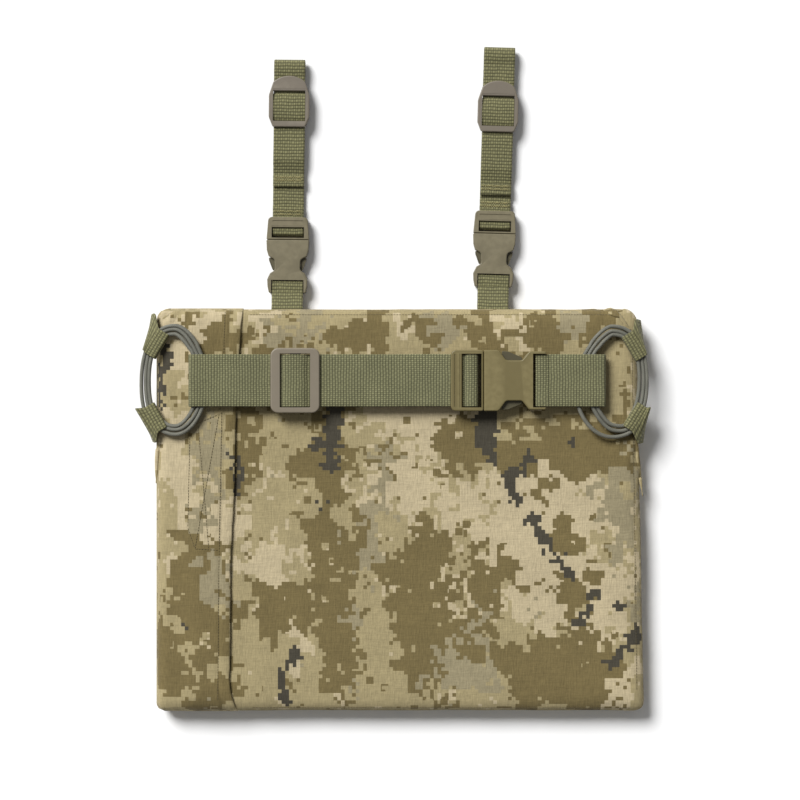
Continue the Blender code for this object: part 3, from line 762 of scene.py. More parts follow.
def make_pad():
    profile = ((0.6, 7.0), (1.0, 4.5), (2.0, 2.6), (4.0, 1.6), (7.0, 1.2),
               (13.5, 0.9), (16.5, 1.0), (18.4, 1.8), (19.6, 3.4), (20.0, 6.5))
    rings = [[Vector((x, y, z)) for x, y in pad_outline(inset)] for z, inset in profile]
    points, faces, _ = loft(rings, [0] * 20, [0] * 60)
    pad = make("pad_cover", points, faces, CAMO)
    remesh = pad.modifiers.new("remesh", "REMESH")
    remesh.mode = "VOXEL"
    remesh.voxel_size = 0.0042
    applied(pad)
    inflate(pad, 4.0, 1.6)
    smooth = pad.modifiers.new("finer", "SUBSURF")
    smooth.levels = 1
    smooth.render_levels = 1
    applied(pad)
    shape_pad(pad.data)
    pad.data.shade_smooth()
    cloth_spots(pad.data)
    pad.data.materials.clear()
    pad.data.materials.append(CAMO)
    settled(pad, "panel", "camouflage_fabric", "front_cover", "back_cover", "foam_core")
    return pad


# Creases pulled into the cover: start, end, depth, half width.
CREASES = (
    ((171.5, 56.0), (180.0, 42.0), 2.2, 2.0), ((176.0, 55.0), (184.0, 36.0), 1.4, 2.4),
    ((-176.0, 46.0), (-167.0, 55.0), 1.4, 1.8), ((-170.0, 42.0), (-160.0, 56.0), 1.0, 2.0),
    ((-158.0, 45.0), (-152.0, 56.0), 0.7, 2.2), ((160.0, 56.0), (166.0, 38.0), 0.8, 2.6),
    ((186.0, -32.0), (176.0, -60.0), 0.9, 3.0), ((188.0, -40.0), (184.0, -80.0), 1.0, 2.4),
    ((-181.0, -44.0), (-176.0, -70.0), 0.8, 2.4),
)


def shape_pad(mesh):
    """Seam, gathers and slow unevenness of a sewn cover over foam."""
    spots = vertices_of(mesh) / MM - np.array(SHIFT)
    normals = np.zeros(len(mesh.vertices) * 3)
    mesh.vertices.foreach_get("normal", normals)
    normals = normals.reshape(-1, 3)
    upper = spots[:, 2] > 9.0
    move = np.zeros(len(spots))
    for start, end, depth, half in CREASES:
        a, b = np.array(start), np.array(end)
        along = b - a
        share = np.clip(((spots[:, :2] - a) @ along) / (along @ along), 0, 1)
        away = np.linalg.norm(spots[:, :2] - a - share[:, None] * along, axis=1)
        fade = np.sin(np.pi * np.clip(share * 0.75 + 0.2, 0, 1))
        move -= depth * fade * np.exp(-(away / half) ** 2) * upper
        move += 0.45 * depth * fade * np.exp(-((away - 2.3 * half) / half) ** 2) * upper
    for i, (x, y, z) in enumerate(spots):
        slow = noise.noise(Vector((x / 42, y / 42, z / 30 + 3.0)))
        quick = noise.noise(Vector((x / 15, y / 15, z / 15 + 8.0)))
        side = 1.0 if 2.0 < z < 18.5 else 0.35
        move[i] += 0.35 * slow + 0.28 * quick * side
    pinch = np.exp(-((spots[:, 2] - SEAM_Z) / 1.2) ** 2) * (np.abs(normals[:, 2]) < 0.8)
    move -= 0.5 * pinch
    moved = spots + normals * move[:, None]
    moved[:, 2] = np.maximum(moved[:, 2], 0.25)
    under = spots[:, 2] < 1.6
    moved[under, 2] = np.clip(spots[under, 2], 0.3, 1.0)
    mesh.vertices.foreach_set("co", ((moved + np.array(SHIFT)) * MM).ravel())
    mesh.update()


def tree_of(obj):
    mesh = obj.data
    spots = [v.co.copy() for v in mesh.vertices]
    return BVHTree.FromPolygons(spots, [tuple(p.vertices) for p in mesh.polygons])


def surface(tree, x, y, otherwise=12.0):
    """Height and normal of the panel's upper side at a point."""
    spot = row((x, y, 60.0))
    hit, normal, _, _ = tree.ray_cast(spot, Vector((0, 0, -1)))
    if hit is None:
        return otherwise, Vector((0, 0, 1))
    return hit.z / MM, normal


def between(table, value):
    """What a table of (value, result) pairs gives for a value."""
    return float(np.interp(value, [a for a, _ in table], [b for _, b in table]))


# The flap's free edge: y and x.
FLAP_EDGE = ((-257.0, -118.6), (-250.0, -121.5), (-240.0, -124.4), (-229.0, -125.4), (-200.0, -124.6),
             (-139.0, -124.4), (-90.0, -121.6), (-23.0, -120.2), (0.0, -119.2), (21.0, -117.6),
             (40.0, -116.4), (56.0, -114.8))
FLAP_THICKNESS = 0.9
FLAP_RISE = 2.3


def outline_left(y, inset):
    """The panel's left side at a height on the drawing, round its two left corners."""
    left = PAD_LEFT + inset
    for corner_y, sign, corner in ((PAD_TOP, 1, CORNER_RADII[1]), (PAD_BOTTOM, -1, CORNER_RADII[2])):
        radius = corner - inset * INSET_SHARE
        edge = corner_y - sign * inset
        into = radius - abs(edge - y) if (edge - y) * sign < radius else 0.0
        if into > 0:
            left += radius - math.sqrt(max(radius ** 2 - min(into, radius) ** 2, 0.0))
            break
    return left


def flap_height(tree, x, y, edge_x):
    base, _ = surface(tree, x, y)
    inward = edge_x - x
    raised = FLAP_RISE * (0.5 - 0.5 * math.cos(math.pi * min(1.0, max(0.0, (x + 168.0) / 22.0))))
    ends = min(1.0, max(0.0, (PAD_TOP - 3.0 - y) / 16.0)) * min(1.0, max(0.0, (y - PAD_BOTTOM - 3.0) / 16.0))
    raised *= 0.35 + 0.65 * ends
    ripple = 0.35 * noise.noise(Vector((x / 13, y / 26, 2.0)))
    ripple += 0.3 * noise.noise(Vector((x / 30, y / 17, 6.0)))
    channel = -0.55 * math.exp(-((inward - 8.5) / 1.1) ** 2)
    hem = 0.25 * math.exp(-((inward - 4.0) / 3.0) ** 2)
    roll = -0.5 * math.exp(-(inward / 0.9) ** 2)
    return base + 0.6 + raised + (ripple + channel + hem) * min(1.0, raised) + roll


def make_flap(tree):
    rows = 150
    columns = 46
    inset = 0.9
    top = []
    for i in range(rows + 1):
        y = PAD_TOP - inset - (PAD_TOP - PAD_BOTTOM - 2 * inset) * i / rows
        edge_x = between(FLAP_EDGE, y) + 0.35 * noise.noise(Vector((y / 9, 0, 0)))
        left = outline_left(y, inset)
        line = []
        for k in range(columns + 1):
            share = k / columns
            share = share * 0.6 + 0.4 * (0.5 - 0.5 * math.cos(math.pi * share))
            x = left + (edge_x - left) * share
            line.append((x, y, flap_height(tree, x, y, edge_x)))
        top.append(line)
    points = [Vector(p) for line in top for p in line]
    points += [Vector((x, y, z - FLAP_THICKNESS)) for line in top for x, y, z in line]
    width = columns + 1
    lower = (rows + 1) * width
    faces = []
    for i in range(rows):
        for k in range(columns):
            a = i * width + k
            faces.append((a, a + 1, a + width + 1, a + width))
            faces.append((lower + a, lower + a + width, lower + a + width + 1, lower + a + 1))
    rim = [*range(width), *[i * width + columns for i in range(1, rows + 1)]]
    rim += [rows * width + k for k in range(columns - 1, -1, -1)]
    rim += [i * width for i in range(rows - 1, 0, -1)]
    for a, b in zip(rim, rim[1:] + rim[:1]):
        faces.append((a, a + lower, b + lower, b))
    flap = make("closure_flap_cloth", points, faces, CAMO_FLAP)
    cloth_spots(flap.data)
    return settled(flap, "panel", "camouflage_fabric", "closure_flap", "hook_strip", "loop_strip")


def on_cloth(a, b, steps, height_at):
    """A line of (point, up) pairs on the cloth, from a to b."""
    line = []
    for i in range(steps + 1):
        x = a[0] + (b[0] - a[0]) * i / steps
        y = a[1] + (b[1] - a[1]) * i / steps
        height, up = height_at(x, y)
        line.append(((x, y, height + 0.05), up))
    return line


# Both ends of each row of stitches on the flap, and how finely it follows the cloth.
FLAP_ROWS = (
    ((-128.7, 52.0), (-129.5, 20.0), 24), ((-129.5, 20.0), (-132.5, -25.0), 24),
    ((-131.0, -25.0), (-133.2, -138.0), 60), ((-133.2, -138.0), (-134.2, -246.0), 60),
    ((-155.4, -36.0), (-157.2, -114.0), 40), ((-133.0, -26.0), (-151.6, -130.0), 50),
    ((-149.2, -35.2), (-141.0, -130.0), 50), ((-155.0, -36.0), (-133.0, -27.0), 24),
    ((-157.2, -114.0), (-151.6, -130.0), 24), ((-151.6, -130.0), (-134.0, -131.0), 24),
)
COVER_ROWS = (
    ((-110.0, 49.5), (172.0, 49.5), 120), ((183.6, 30.0), (187.4, -240.0), 100),
    ((-108.0, -252.3), (184.0, -252.6), 120),
)


def make_stitching(name, rows, height_at, radius):
    lines = [on_cloth(a, b, steps, height_at) for a, b, steps in rows]
    made = stitches(name, lines, SHADED_COVER_THREAD, 1.9, 0.3, radius)
    settled(made, "panel", "camouflage_fabric")


def make_seam(tree):
    """The seam where the front panel meets the side strip, all round."""
    outline = pad_outline(0.75, 10)
    route = dense([(x, y, SEAM_Z) for x, y in outline], 2.4, closed=True)
    spots = []
    for i, (x, y, z) in enumerate(route):
        ahead, behind = Vector(route[(i + 1) % len(route)]), Vector(route[i - 1])
        inward = (ahead - behind).cross(Vector((0, 0, 1))).normalized()
        if inward.dot(Vector((3.0 - x, -100.0 - y, 0.0))) < 0:
            inward = -inward
        hit, _, _, _ = tree.ray_cast(row(Vector((x, y, z)) - inward * 8.0), inward, 0.03)
        spot = Vector((x, y, z)) if hit is None else hit / MM - SHIFT
        spots.append(spot + inward * 0.35)
    spots = [(spots[i - 1] + spot + spots[(i + 1) % len(spots)]) / 3 for i, spot in enumerate(spots)]
    rings = []
    along = [0.0]
    total = len(spots)
    for i, spot in enumerate(spots):
        forward = (spots[(i + 1) % total] - spots[i - 1]).normalized()
        side = forward.cross(Vector((0, 0, 1))).normalized()
        up = Vector((0, 0, 1))
        ring = []
        for k in range(8):
            turn = 2 * math.pi * k / 8
            ring.append(spot + side * 0.8 * math.cos(turn) + up * 0.6 * math.sin(turn))
        rings.append(ring)
        along.append(along[-1] + (spots[(i + 1) % total] - spot).length)
    points, faces, uvs = loft(rings, along, [0.7 * k for k in range(9)], closed=True)
    seam = make("edge_seam", points, faces, CAMO, uvs)
    cloth_spots(seam.data)
    settled(seam, "panel", "camouflage_fabric")


# Folds of the cover that stand up as narrow ridges: points on the drawing and the fold's width.
PLEATS = (
    (((170.5, 53.2), (173.5, 49.0), (178.0, 43.0), (183.0, 37.5)), 2.6),
    (((163.0, 53.4), (168.0, 50.0), (176.0, 46.5)), 1.8),
    (((-177.0, 46.5), (-172.0, 50.0), (-167.0, 53.2)), 2.2),
    (((-171.0, 42.5), (-165.0, 48.5), (-160.5, 53.2)), 1.8),
    (((187.2, -46.0), (188.2, -60.0), (190.2, -75.0), (192.2, -90.0)), 2.6),
    (((-180.6, -47.0), (-181.4, -60.0), (-182.0, -80.0)), 2.4),
    (((-118.5, 21.0), (-117.0, 40.0), (-114.5, 53.2)), 1.8),
)


def make_pleats(tree):
    sides = 10
    skins = []
    for path, width in PLEATS:
        route = dense([(x, y, 0.0) for x, y in path], 1.6)
        rings = []
        for i, (x, y, _) in enumerate(route):
            share = i / (len(route) - 1)
            size = width * 0.625 * (0.25 + 0.75 * math.sin(math.pi * min(1.0, share + 0.12)) ** 0.6)
            before, after = route[max(i - 1, 0)], route[min(i + 1, len(route) - 1)]
            along = Vector((after[0] - before[0], after[1] - before[1], 0.0)).normalized()
            side = along.cross(Vector((0, 0, 1)))
            height, _ = surface(tree, x, y, 17.0)
            middle = Vector((x, y, height - 0.05))
            ring = []
            for k in range(sides):
                turn = 2 * math.pi * k / sides
                lean = 0.35 * size * max(0.0, math.sin(turn))
                rise = Vector((0, 0, 0.75 * size * math.sin(turn)))
                ring.append(middle + side * (size * math.cos(turn) + lean) + rise)
            rings.append(ring)
        skins.append(rings)
    made = pieced("cover_pleats", skins, CAMO)
    cloth_spots(made.data)
    settled(made, "panel", "camouflage_fabric")


pad = make_pad()
pad_tree = tree_of(pad)
make_flap(pad_tree)


def on_flap(x, y):
    return flap_height(pad_tree, x, y, between(FLAP_EDGE, y)), (0, 0, 1)


def on_pad(x, y):
    return surface(pad_tree, x, y)


make_stitching("flap_stitching", FLAP_ROWS, on_flap, 0.2)
make_seam(pad_tree)
make_stitching("cover_stitching", COVER_ROWS, on_pad, 0.16)
make_pleats(pad_tree)


# ================================================================ cord rings and side loops

CORD_RADIUS = 1.5
CORD_PITCH = 3.05
RING_Y, RING_HALF_HEIGHT, SQUARENESS = -1.3, 38.8, 2.3
RINGS = (
    {"side": "left", "out": -1, "x": -166.5, "half_width": 22.0, "edge": PAD_LEFT, "squareness": (1.65, 1.9)},
    {"side": "right", "out": 1, "x": 168.0, "half_width": 25.2, "edge": PAD_RIGHT, "squareness": (1.45, 2.0)},
)
# Where each ring's cord starts and ends, inside its lower side loop, in degrees from the outer side.
CORD_START = 47.4
# Each side loop: where it sits round the ring, how far inside the cords it folds, and its outer bend and
# its seam as (out from the panel's edge, up from the ring's middle) at both edges of the tape.
LOOPS = {
    ("left", "upper"): {"angle": 46.5, "fold": -4.4, "bend": ((8.8, 23.5), (0.0, 52.0)),
                        "seam": ((2.6, 28.0), (1.0, 50.5))},
    ("left", "lower"): {"angle": 45.0, "fold": -3.2, "bend": ((14.6, 21.0), (-1.0, 47.6)),
                        "seam": ((3.0, 28.0), (0.8, 47.0))},
    ("right", "upper"): {"angle": 43.0, "fold": -4.8, "bend": ((5.2, 21.0), (-2.4, 47.6)),
                         "seam": ((2.2, 25.0), (0.6, 46.5))},
    ("right", "lower"): {"angle": 44.0, "fold": -3.2, "bend": ((7.4, 20.0), (-2.2, 48.5)),
                         "seam": ((2.4, 26.0), (0.8, 46.5))},
}


def ring_height(ring, x):
    inner_x = ring["x"] - ring["out"] * ring["half_width"]
    return BELT_Z - 0.13 * max(0.0, abs(x - inner_x) - 9.5)


def oval_point(ring, angle):
    c, s = math.cos(angle), math.sin(angle)
    inside = c * ring["out"] < 0
    power = 2 / (ring["squareness"][0 if s > 0 else 1] if inside else SQUARENESS)
    x = math.copysign(abs(c) ** power, c) * ring["half_width"]
    y = math.copysign(abs(s) ** power, s) * RING_HALF_HEIGHT
    return Vector((ring["x"] + x, RING_Y + y))


def oval_outward(ring, angle):
    along = oval_point(ring, angle + 0.03) - oval_point(ring, angle - 0.03)
    return Vector((along.y, -along.x)).normalized()


def make_ring(ring):
    """Three turns of elastic cord, a little uneven. The right ring's inner turns hang away from the last."""
    per_turn = 90
    steps = 3 * per_turn
    start = math.radians(180 + CORD_START if ring["out"] < 0 else -CORD_START)
    route = []
    for i in range(steps + 1):
        turn = i / per_turn
        angle = start + 2 * math.pi * turn
        offset = CORD_PITCH * (turn - 1.5)
        offset += 0.3 * math.sin(2 * angle + 2.1 * math.floor(turn + 0.5))
        if ring["out"] > 0:
            inner = min(1.0, max(0.0, (2.15 - turn) / 0.3))
            swing = math.cos(angle - math.radians(222))
            offset -= 6.5 * inner * max(0.0, swing) ** 2
        spot = oval_point(ring, angle) + oval_outward(ring, angle) * offset
        route.append(Vector((spot.x, spot.y, ring_height(ring, spot.x) + 0.12 * math.sin(3 * angle + turn))))
    rings, along, around = tube(route, CORD_RADIUS, 14)
    points, faces, uvs = loft(rings, along, around)
    name = ring["side"] + "_cord_ring"
    made = make(ring["side"] + "_elastic_ring", points, faces, CORD, uvs, sharp=60)
    settled(made, "panel", "elastic_cord", name)


def make_side_loop(ring, end, up):
    out = ring["out"]
    lie = LOOPS[ring["side"], end]
    angle = math.radians(180 - up * lie["angle"] if out < 0 else up * lie["angle"])
    centre = oval_point(ring, angle)
    outward = oval_outward(ring, angle)
    along = Vector((-out * abs(outward.y), up * abs(outward.x)))
    radius = CORD_RADIUS + 0.4 + STRAP_THICKNESS / 2
    fold = lie["fold"]

    def at_edge(spot, z):
        x_out, y_up = spot
        y = RING_Y + up * y_up
        wide = PAD_FLARE * (PAD_TOP - y) / (PAD_TOP - PAD_BOTTOM) if out > 0 else 0.0
        return Vector((ring["edge"] + wide + out * x_out, y, z))

    def over_cords(k, rise):
        ends = []
        for sign in (-1, 1):
            spot = centre + outward * k + along * sign * 10.8
            ends.append(Vector((spot.x, spot.y, ring_height(ring, spot.x) + rise)))
        return tuple(ends)

    near, far = lie["bend"]
    near_seam, far_seam = lie["seam"]
    rulings = [
        (at_edge((0.9, near_seam[1] - 3), 10.9), at_edge((0.9, far_seam[1] - 4), 10.9)),
        (at_edge((1.5, near_seam[1] - 3), 17.5), at_edge((1.5, far_seam[1] - 4), 17.5)),
        (at_edge((1.8, 22), 20.0), at_edge((1.0, 42), 20.6)),
        over_cords(-1.0, -radius),
        over_cords(fold, -radius),
    ]
    for step in range(15, 180, 15):
        turn = math.radians(step)
        rulings.append(over_cords(fold - radius * math.sin(turn), -radius * math.cos(turn)))
    rulings += [
        over_cords(fold, radius),
        over_cords(2.6, radius),
        (at_edge((near[0] - 0.9, near[1]), 27.0), at_edge((far[0] - 1.2, far[1] - 1.0), 22.6)),
        (at_edge(near, 23.0), at_edge(far, 21.2)),
        (at_edge((near[0] * 0.62 + 0.9, near[1] + 1.6), 17.0),
         at_edge((max(far[0] + 2.4, 1.4), far[1] - 0.8), 17.2)),
        (at_edge(near_seam, 12.4), at_edge(far_seam, 12.4)),
    ]
    rulings = smoothed(subdivided(rulings, 1.2), 3)
    creased = []
    for i, (p, q) in enumerate(rulings):
        lift = 0.35 * noise.noise(Vector((i * 0.22, up * 3.0, out * 2.0)))
        creased.append((p + Vector((0, 0, lift)), q - Vector((0, 0, lift))))
    name = f"{ring['side']}_{end}_loop"
    made = tape(name + "_tape", creased, STRAP_THICKNESS, WEB_STRAP, seed=up * 3.0 + out)
    settled(made, "panel", "olive_webbing", name)


for ring in RINGS:
    make_ring(ring)
    make_side_loop(ring, "upper", 1)
    make_side_loop(ring, "lower", -1)


# ================================================================ moulded parts

def between_ends(first, second):
    """A closed solid between two outlines with the same number of points."""
    bm = bmesh.new()
    near = [bm.verts.new(spot) for spot in first]
    far = [bm.verts.new(spot) for spot in second]
    for i in range(len(near)):
        j = (i + 1) % len(near)
        bm.faces.new((near[i], near[j], far[j], far[i]))
    bm.faces.new(near)
    bm.faces.new(far)
    bmesh.ops.recalc_face_normals(bm, faces=bm.faces)
    return bm


def prism(outline, low, high):
    return between_ends([(u, v, low) for u, v in outline], [(u, v, high) for u, v in outline])


def block(low, high):
    outline = ((low[0], low[1]), (high[0], low[1]), (high[0], high[1]), (low[0], high[1]))
    return prism(outline, low[2], high[2])


def rod(u, w, radius, half_length, sides=24):
    turns = [2 * math.pi * i / sides for i in range(sides)]
    circle = [(u + radius * math.cos(a), w + radius * math.sin(a)) for a in turns]
    return between_ends([(a, -half_length, b) for a, b in circle], [(a, half_length, b) for a, b in circle])


def mirrored(half_outline):
    return [*half_outline, *[(u, -v, radius) for u, v, radius in reversed(half_outline)]]


def temporary(bm, name):
    mesh = bpy.data.meshes.new(name)
    bm.to_mesh(mesh)
    bm.free()
    obj = bpy.data.objects.new(name, mesh)
    bpy.context.scene.collection.objects.link(obj)
    return obj


def bevelled(obj, width, segments, angle):
    """Rounds the edges that are sharper than this many degrees."""
    bevel = obj.modifiers.new("edges", "BEVEL")
    bevel.width = width
    bevel.segments = segments
    bevel.limit_method = "ANGLE"
    bevel.angle_limit = math.radians(angle)
    bevel.use_clamp_overlap = True


def moulded(name, base, steps, frame_matrix, material, outer=1.0, inner=0.4):
    """A solid made by cutting and joining shapes, with soft edges all over."""
    obj = temporary(base, name)
    if outer:
        bevelled(obj, outer, 3, 40)
    helpers = []
    for operation, shape in steps:
        helper = temporary(shape, f"{name}_helper_{len(helpers)}")
        helpers.append(helper)
        boolean = obj.modifiers.new("shape", "BOOLEAN")
        boolean.operation = operation
        boolean.solver = "EXACT"
        boolean.object = helper
    if inner:
        bevelled(obj, inner, 2, 50)
    applied(obj)
    for helper in helpers:
        bpy.data.objects.remove(helper)
    obj.data.transform(Matrix.Scale(MM, 4) @ Matrix.Translation(SHIFT) @ frame_matrix)
    obj.data.shade_smooth()
    obj.data.set_sharp_from_angle(angle=math.radians(42))
    weighted = obj.modifiers.new("flat faces", "WEIGHTED_NORMAL")
    weighted.mode = "FACE_AREA"
    weighted.keep_sharp = True
    applied(obj)
    obj.data.materials.clear()
    obj.data.materials.append(material)
    return obj


# Each side-release buckle, with u along the tape from the line where its halves meet, v across and w up.
# Outlines are one half's corners, each as (u, v, rounding).
BELT_BUCKLE = {
    "socket": ((0, 23.3, 1), (11.2, 23.3, 3), (17.0, 15.4, 3), (29.0, 15.4, 3), (34.5, 22.3, 3),
               (47.4, 22.3, 1.4)),
    "half_thickness": 6.2, "cavity": (34.0, 20.4, 3.3), "window": 37.4, "slot": 20.5, "bar": 44.8,
    "bar_radius": 1.6, "plug": ((-25.3, 23.3, 4), (-0.3, 23.3, 1.6)), "end_bar": -18.6, "wall": -1.8,
    "wrap_bar": -9.5, "over": 3.6, "tongue": (4.0, 12.0, 2.6), "prong": (24.0, 4.5, 2.2),
    "arm": ((0.0, 14.6, 0), (0.0, 18.6, 0), (13.9, 19.4, 0.4), (13.9, 22.5, 0.8), (18.5, 22.2, 3),
            (29.5, 17.6, 2), (29.5, 15.2, 1), (25.0, 14.4, 2), (11.0, 15.4, 2)),
    "arm_half_thickness": 2.8,
}
STRAP_BUCKLE = {
    "socket": ((0, 16.5, 0.8), (8.0, 16.1, 6), (12.6, 14.7, 0.8), (15.2, 10.0, 3), (23.4, 9.7, 3),
               (25.8, 13.4, 2), (30.5, 15.6, 3), (36.0, 15.3, 4), (41.0, 14.2, 1.2)),
    "half_thickness": 4.7, "cavity": (25.0, 13.4, 2.6), "window": 31.0, "slot": 12.5, "bar": 37.5,
    "bar_radius": 1.3, "plug": ((-17.6, 15.1, 3), (-0.3, 16.4, 0.6)), "end_bar": -10.8, "wall": -1.6,
    "wrap_bar": -5.8, "over": 3.1, "tongue": (3.0, 8.0, 2.0), "prong": (17.0, 3.0, 1.7),
    "arm": ((0.0, 9.0, 0), (0.0, 12.2, 0), (13.8, 12.7, 0.3), (13.8, 14.6, 0.6), (16.0, 14.3, 2),
            (23.6, 11.4, 1.5), (23.6, 9.8, 0.8), (19.5, 9.2, 2), (9.0, 9.8, 2)),
    "arm_half_thickness": 2.1,
}


def make_buckle(prefix, shape, place, material, slot, bodies):
    thick = shape["half_thickness"]
    depth, half_width, half_height = shape["cavity"]
    tongue_end, tongue_half, tongue_thick = shape["tongue"]
    prong_end, prong_half, prong_thick = shape["prong"]
    reach = shape["slot"]
    end = shape["bar"] + 20
    socket = moulded(
        prefix + "_socket_body", prism(rounded(mirrored(shape["socket"]), 6), -thick, thick),
        [("DIFFERENCE", block((-5, -half_width, -half_height), (depth, half_width, half_height))),
         ("DIFFERENCE", block((shape["window"], -reach, -thick - 2), (end, reach, thick + 2))),
         ("UNION", rod(shape["bar"], 0, shape["bar_radius"], reach + 0.8))],
        place, material, outer=1.2)
    settled(socket, bodies["socket"], slot, prefix + "_buckle_socket")

    over = shape["over"] + 0.1
    low, high = -thick + 0.7, thick - 0.2
    lip = (high - over) / 2 - 0.04
    start = shape["plug"][0][0]
    steps = [
        ("DIFFERENCE", block((-40, -reach, -20), (shape["wall"], reach, over))),
        ("DIFFERENCE", block((shape["end_bar"], -reach, over - 1), (shape["wall"], reach, 20))),
        ("UNION", rod(shape["wrap_bar"], 0, shape["bar_radius"], reach + 0.8)),
        ("UNION", block((-6.4 * thick / 6.2, -reach - 0.5, low), (-1.0, reach + 0.5, low + 1.5))),
        ("UNION", block((-1, -tongue_half, -tongue_thick), (tongue_end, tongue_half, tongue_thick))),
        ("UNION", block((tongue_end - 1, -prong_half, -prong_thick), (prong_end, prong_half, prong_thick))),
        ("UNION", rod(shape["end_bar"] + 0.9 * lip, over + lip + 0.03, lip, reach + 0.3)),
        ("DIFFERENCE", block((start + 2.6, -reach + 0.6, high - 0.45), (start + 3.5, reach - 0.6, high + 2))),
    ]
    plug = moulded(prefix + "_plug_body", prism(rounded(mirrored(shape["plug"]), 6), low, high), steps, place,
                   material, outer=1.0)
    settled(plug, bodies["plug"], slot, prefix + "_buckle_plug")

    arm_thick = shape["arm_half_thickness"]
    for letter, sign in (("a", 1), ("b", -1)):
        corners = shape["arm"] if sign > 0 else [(a, -b, r) for a, b, r in reversed(shape["arm"])]
        solid = prism(rounded(corners, 4), -arm_thick, arm_thick)
        arm = moulded(f"{prefix}_arm_{letter}_body", solid, [], place, SHADED_ARM_PLASTIC, outer=0.5, inner=0.0)
        settled(arm, bodies["arm_" + letter], slot, f"{prefix}_latch_arm_{letter}")


def make_slider(place):
    over = 3.6
    slot = 20.5
    top = over + 2.4
    half_length, half_width, corner = 18.8, 24.8, 6
    outline = rounded([(half_length, half_width, corner), (-half_length, half_width, corner),
                       (-half_length, -half_width, corner), (half_length, -half_width, corner)], 7)
    steps = [("DIFFERENCE", block((-30, -slot, -10), (30, slot, over))),
             ("DIFFERENCE", block((-11.5, -slot, over - 1), (11.5, slot, 20))),
             ("UNION", block((-4.0, -slot - 1, -1.4), (4.0, slot + 1, 1.5)))]
    made = moulded("slider_body", prism(outline, -1.5, top), steps, place, TAUPE_PLASTIC, outer=1.1)
    settled(made, "belt_adjuster", "taupe_plastic", "belt_slider")


def make_ladder_lock(side, place):
    over = 3.1
    slot = 12.5
    top = over + 2.2
    tab_end, tab_half, flatness = 24, 16.2, 0.58
    turns = (0, 0.15, 0.3, 0.45, 0.6, 0.75, 0.88)
    tab = [(tab_end - tab_end * (1 - math.cos(a)) * flatness, tab_half * math.sin(a), 0) for a in turns]
    half = [*tab[1:], (9.0, 15.7, 6), (-8.0, 15.7, 6), (-15.6, 12.6, 2.5)]
    outline = rounded([tab[0], *half, *[(u, -v, r) for u, v, r in reversed(half)]], 6)
    steps = [("DIFFERENCE", block((-30, -slot, -10), (40, slot, over))),
             ("DIFFERENCE", block((-11.0, -slot, over - 1), (13.8, slot, 20))),
             ("UNION", rod(13.1, over + 1.08, 1.05, slot + 0.3)),
             ("UNION", block((-3.0, -slot - 1, -1.1), (3.0, slot + 1, 1.2)))]
    made = moulded(side + "_lock_body", prism(outline, -1.2, top), steps, place, LOCK_PLASTIC, outer=0.9)
    settled(made, side + "_lock", "taupe_plastic", side + "_strap_ladder_lock")


# ================================================================ belt

def hump(name, place, half_length, width, base, rise, body, fullness=0.45, fall=0.0, material=WEB):
    """Where a tape goes over a bar: a low arch in the window of the plastic part."""
    steps, columns = 22, 10
    profile = []
    for i in range(steps + 1):
        u = -half_length + 2 * half_length * i / steps
        share = math.cos(math.pi * 0.5 * u / half_length)
        drop = fall * max(0.0, u / half_length - 0.4) ** 1.5
        profile.append((u, base + max(0.0, rise * max(share, 0.0) ** fullness - drop)))
    across = [width * k / columns for k in range(columns + 1)]
    rings = []
    along = [0.0]
    for i, (u, z) in enumerate(profile):
        ring = [place @ Vector((u, -width / 2 + v, z)) for v in across]
        ring += [place @ Vector((u, width / 2 - v, base - 0.08)) for v in across]
        rings.append(ring)
        along.append(along[-1] + math.dist((u, z), profile[min(i + 1, steps)]))
    around = [*across, *[width - v for v in across], 0.0]
    points, faces, uvs = loft(rings, along, around)
    made = make(name, points, faces, material, uvs, sharp=50)
    settled(made, body, "olive_webbing")


def at_belt(x):
    return Matrix.Translation((x, BELT_Y, BELT_Z))


def make_belt():
    gap = 1.9
    middle = gap + BELT_THICKNESS / 2
    top = gap + BELT_THICKNESS + 0.1
    bar_x = BUCKLE_X + BELT_BUCKLE["wrap_bar"]
    fold_x = LEFT_FOLD_X + middle + BELT_THICKNESS / 2
    left = [(bar_x - 31.5, BELT_Z - middle), *arc((bar_x, BELT_Z), middle, -90, 90, 14),
            *arc((fold_x, BELT_Z), middle, 90, 270, 14), (SLIDER_X, BELT_Z - middle)]
    rulings = across_y(dense(left, 1.5), BELT_WIDTH, BELT_Y, 0.35, 1.0)
    made = tape("belt_left_tape", rulings, BELT_THICKNESS, WEB, seed=1.0)
    settled(made, "belt_left", "olive_webbing", "belt_left_webbing")

    socket_x = BUCKLE_X + BELT_BUCKLE["bar"]
    fold_x = RIGHT_FOLD_X - middle - BELT_THICKNESS / 2
    right = [*arc((fold_x, BELT_Z), middle, -90, 90, 14), *arc((socket_x, BELT_Z), middle, 90, 270, 14)]
    rulings = across_y(dense(right, 1.5, closed=True), BELT_WIDTH, BELT_Y, 0.3, 4.0)
    made = tape("belt_right_tape", rulings, BELT_THICKNESS, WEB, closed=True, seed=4.0)
    settled(made, "belt_right", "olive_webbing", "belt_right_webbing")

    bodies = {"socket": "belt_right", "plug": "belt_left", "arm_a": "belt_arm_a", "arm_b": "belt_arm_b"}
    make_buckle("belt", BELT_BUCKLE, at_belt(BUCKLE_X), SAND_PLASTIC, "sand_plastic", bodies)
    make_slider(at_belt(SLIDER_X))
    hump("belt_over_slider_bar", at_belt(SLIDER_X), 10.6, 39.8, top, 2.3, "belt_adjuster", 0.4, 2.6)
    hump("belt_over_plug_bar", at_belt(BUCKLE_X - 9.4), 5.0, 39.4, top, 2.2, "belt_left")
    hump("belt_over_socket_bar", at_belt(BUCKLE_X + 44.7), 5.2, 39.4, top, 0.7, "belt_right")


# ================================================================ hanger straps

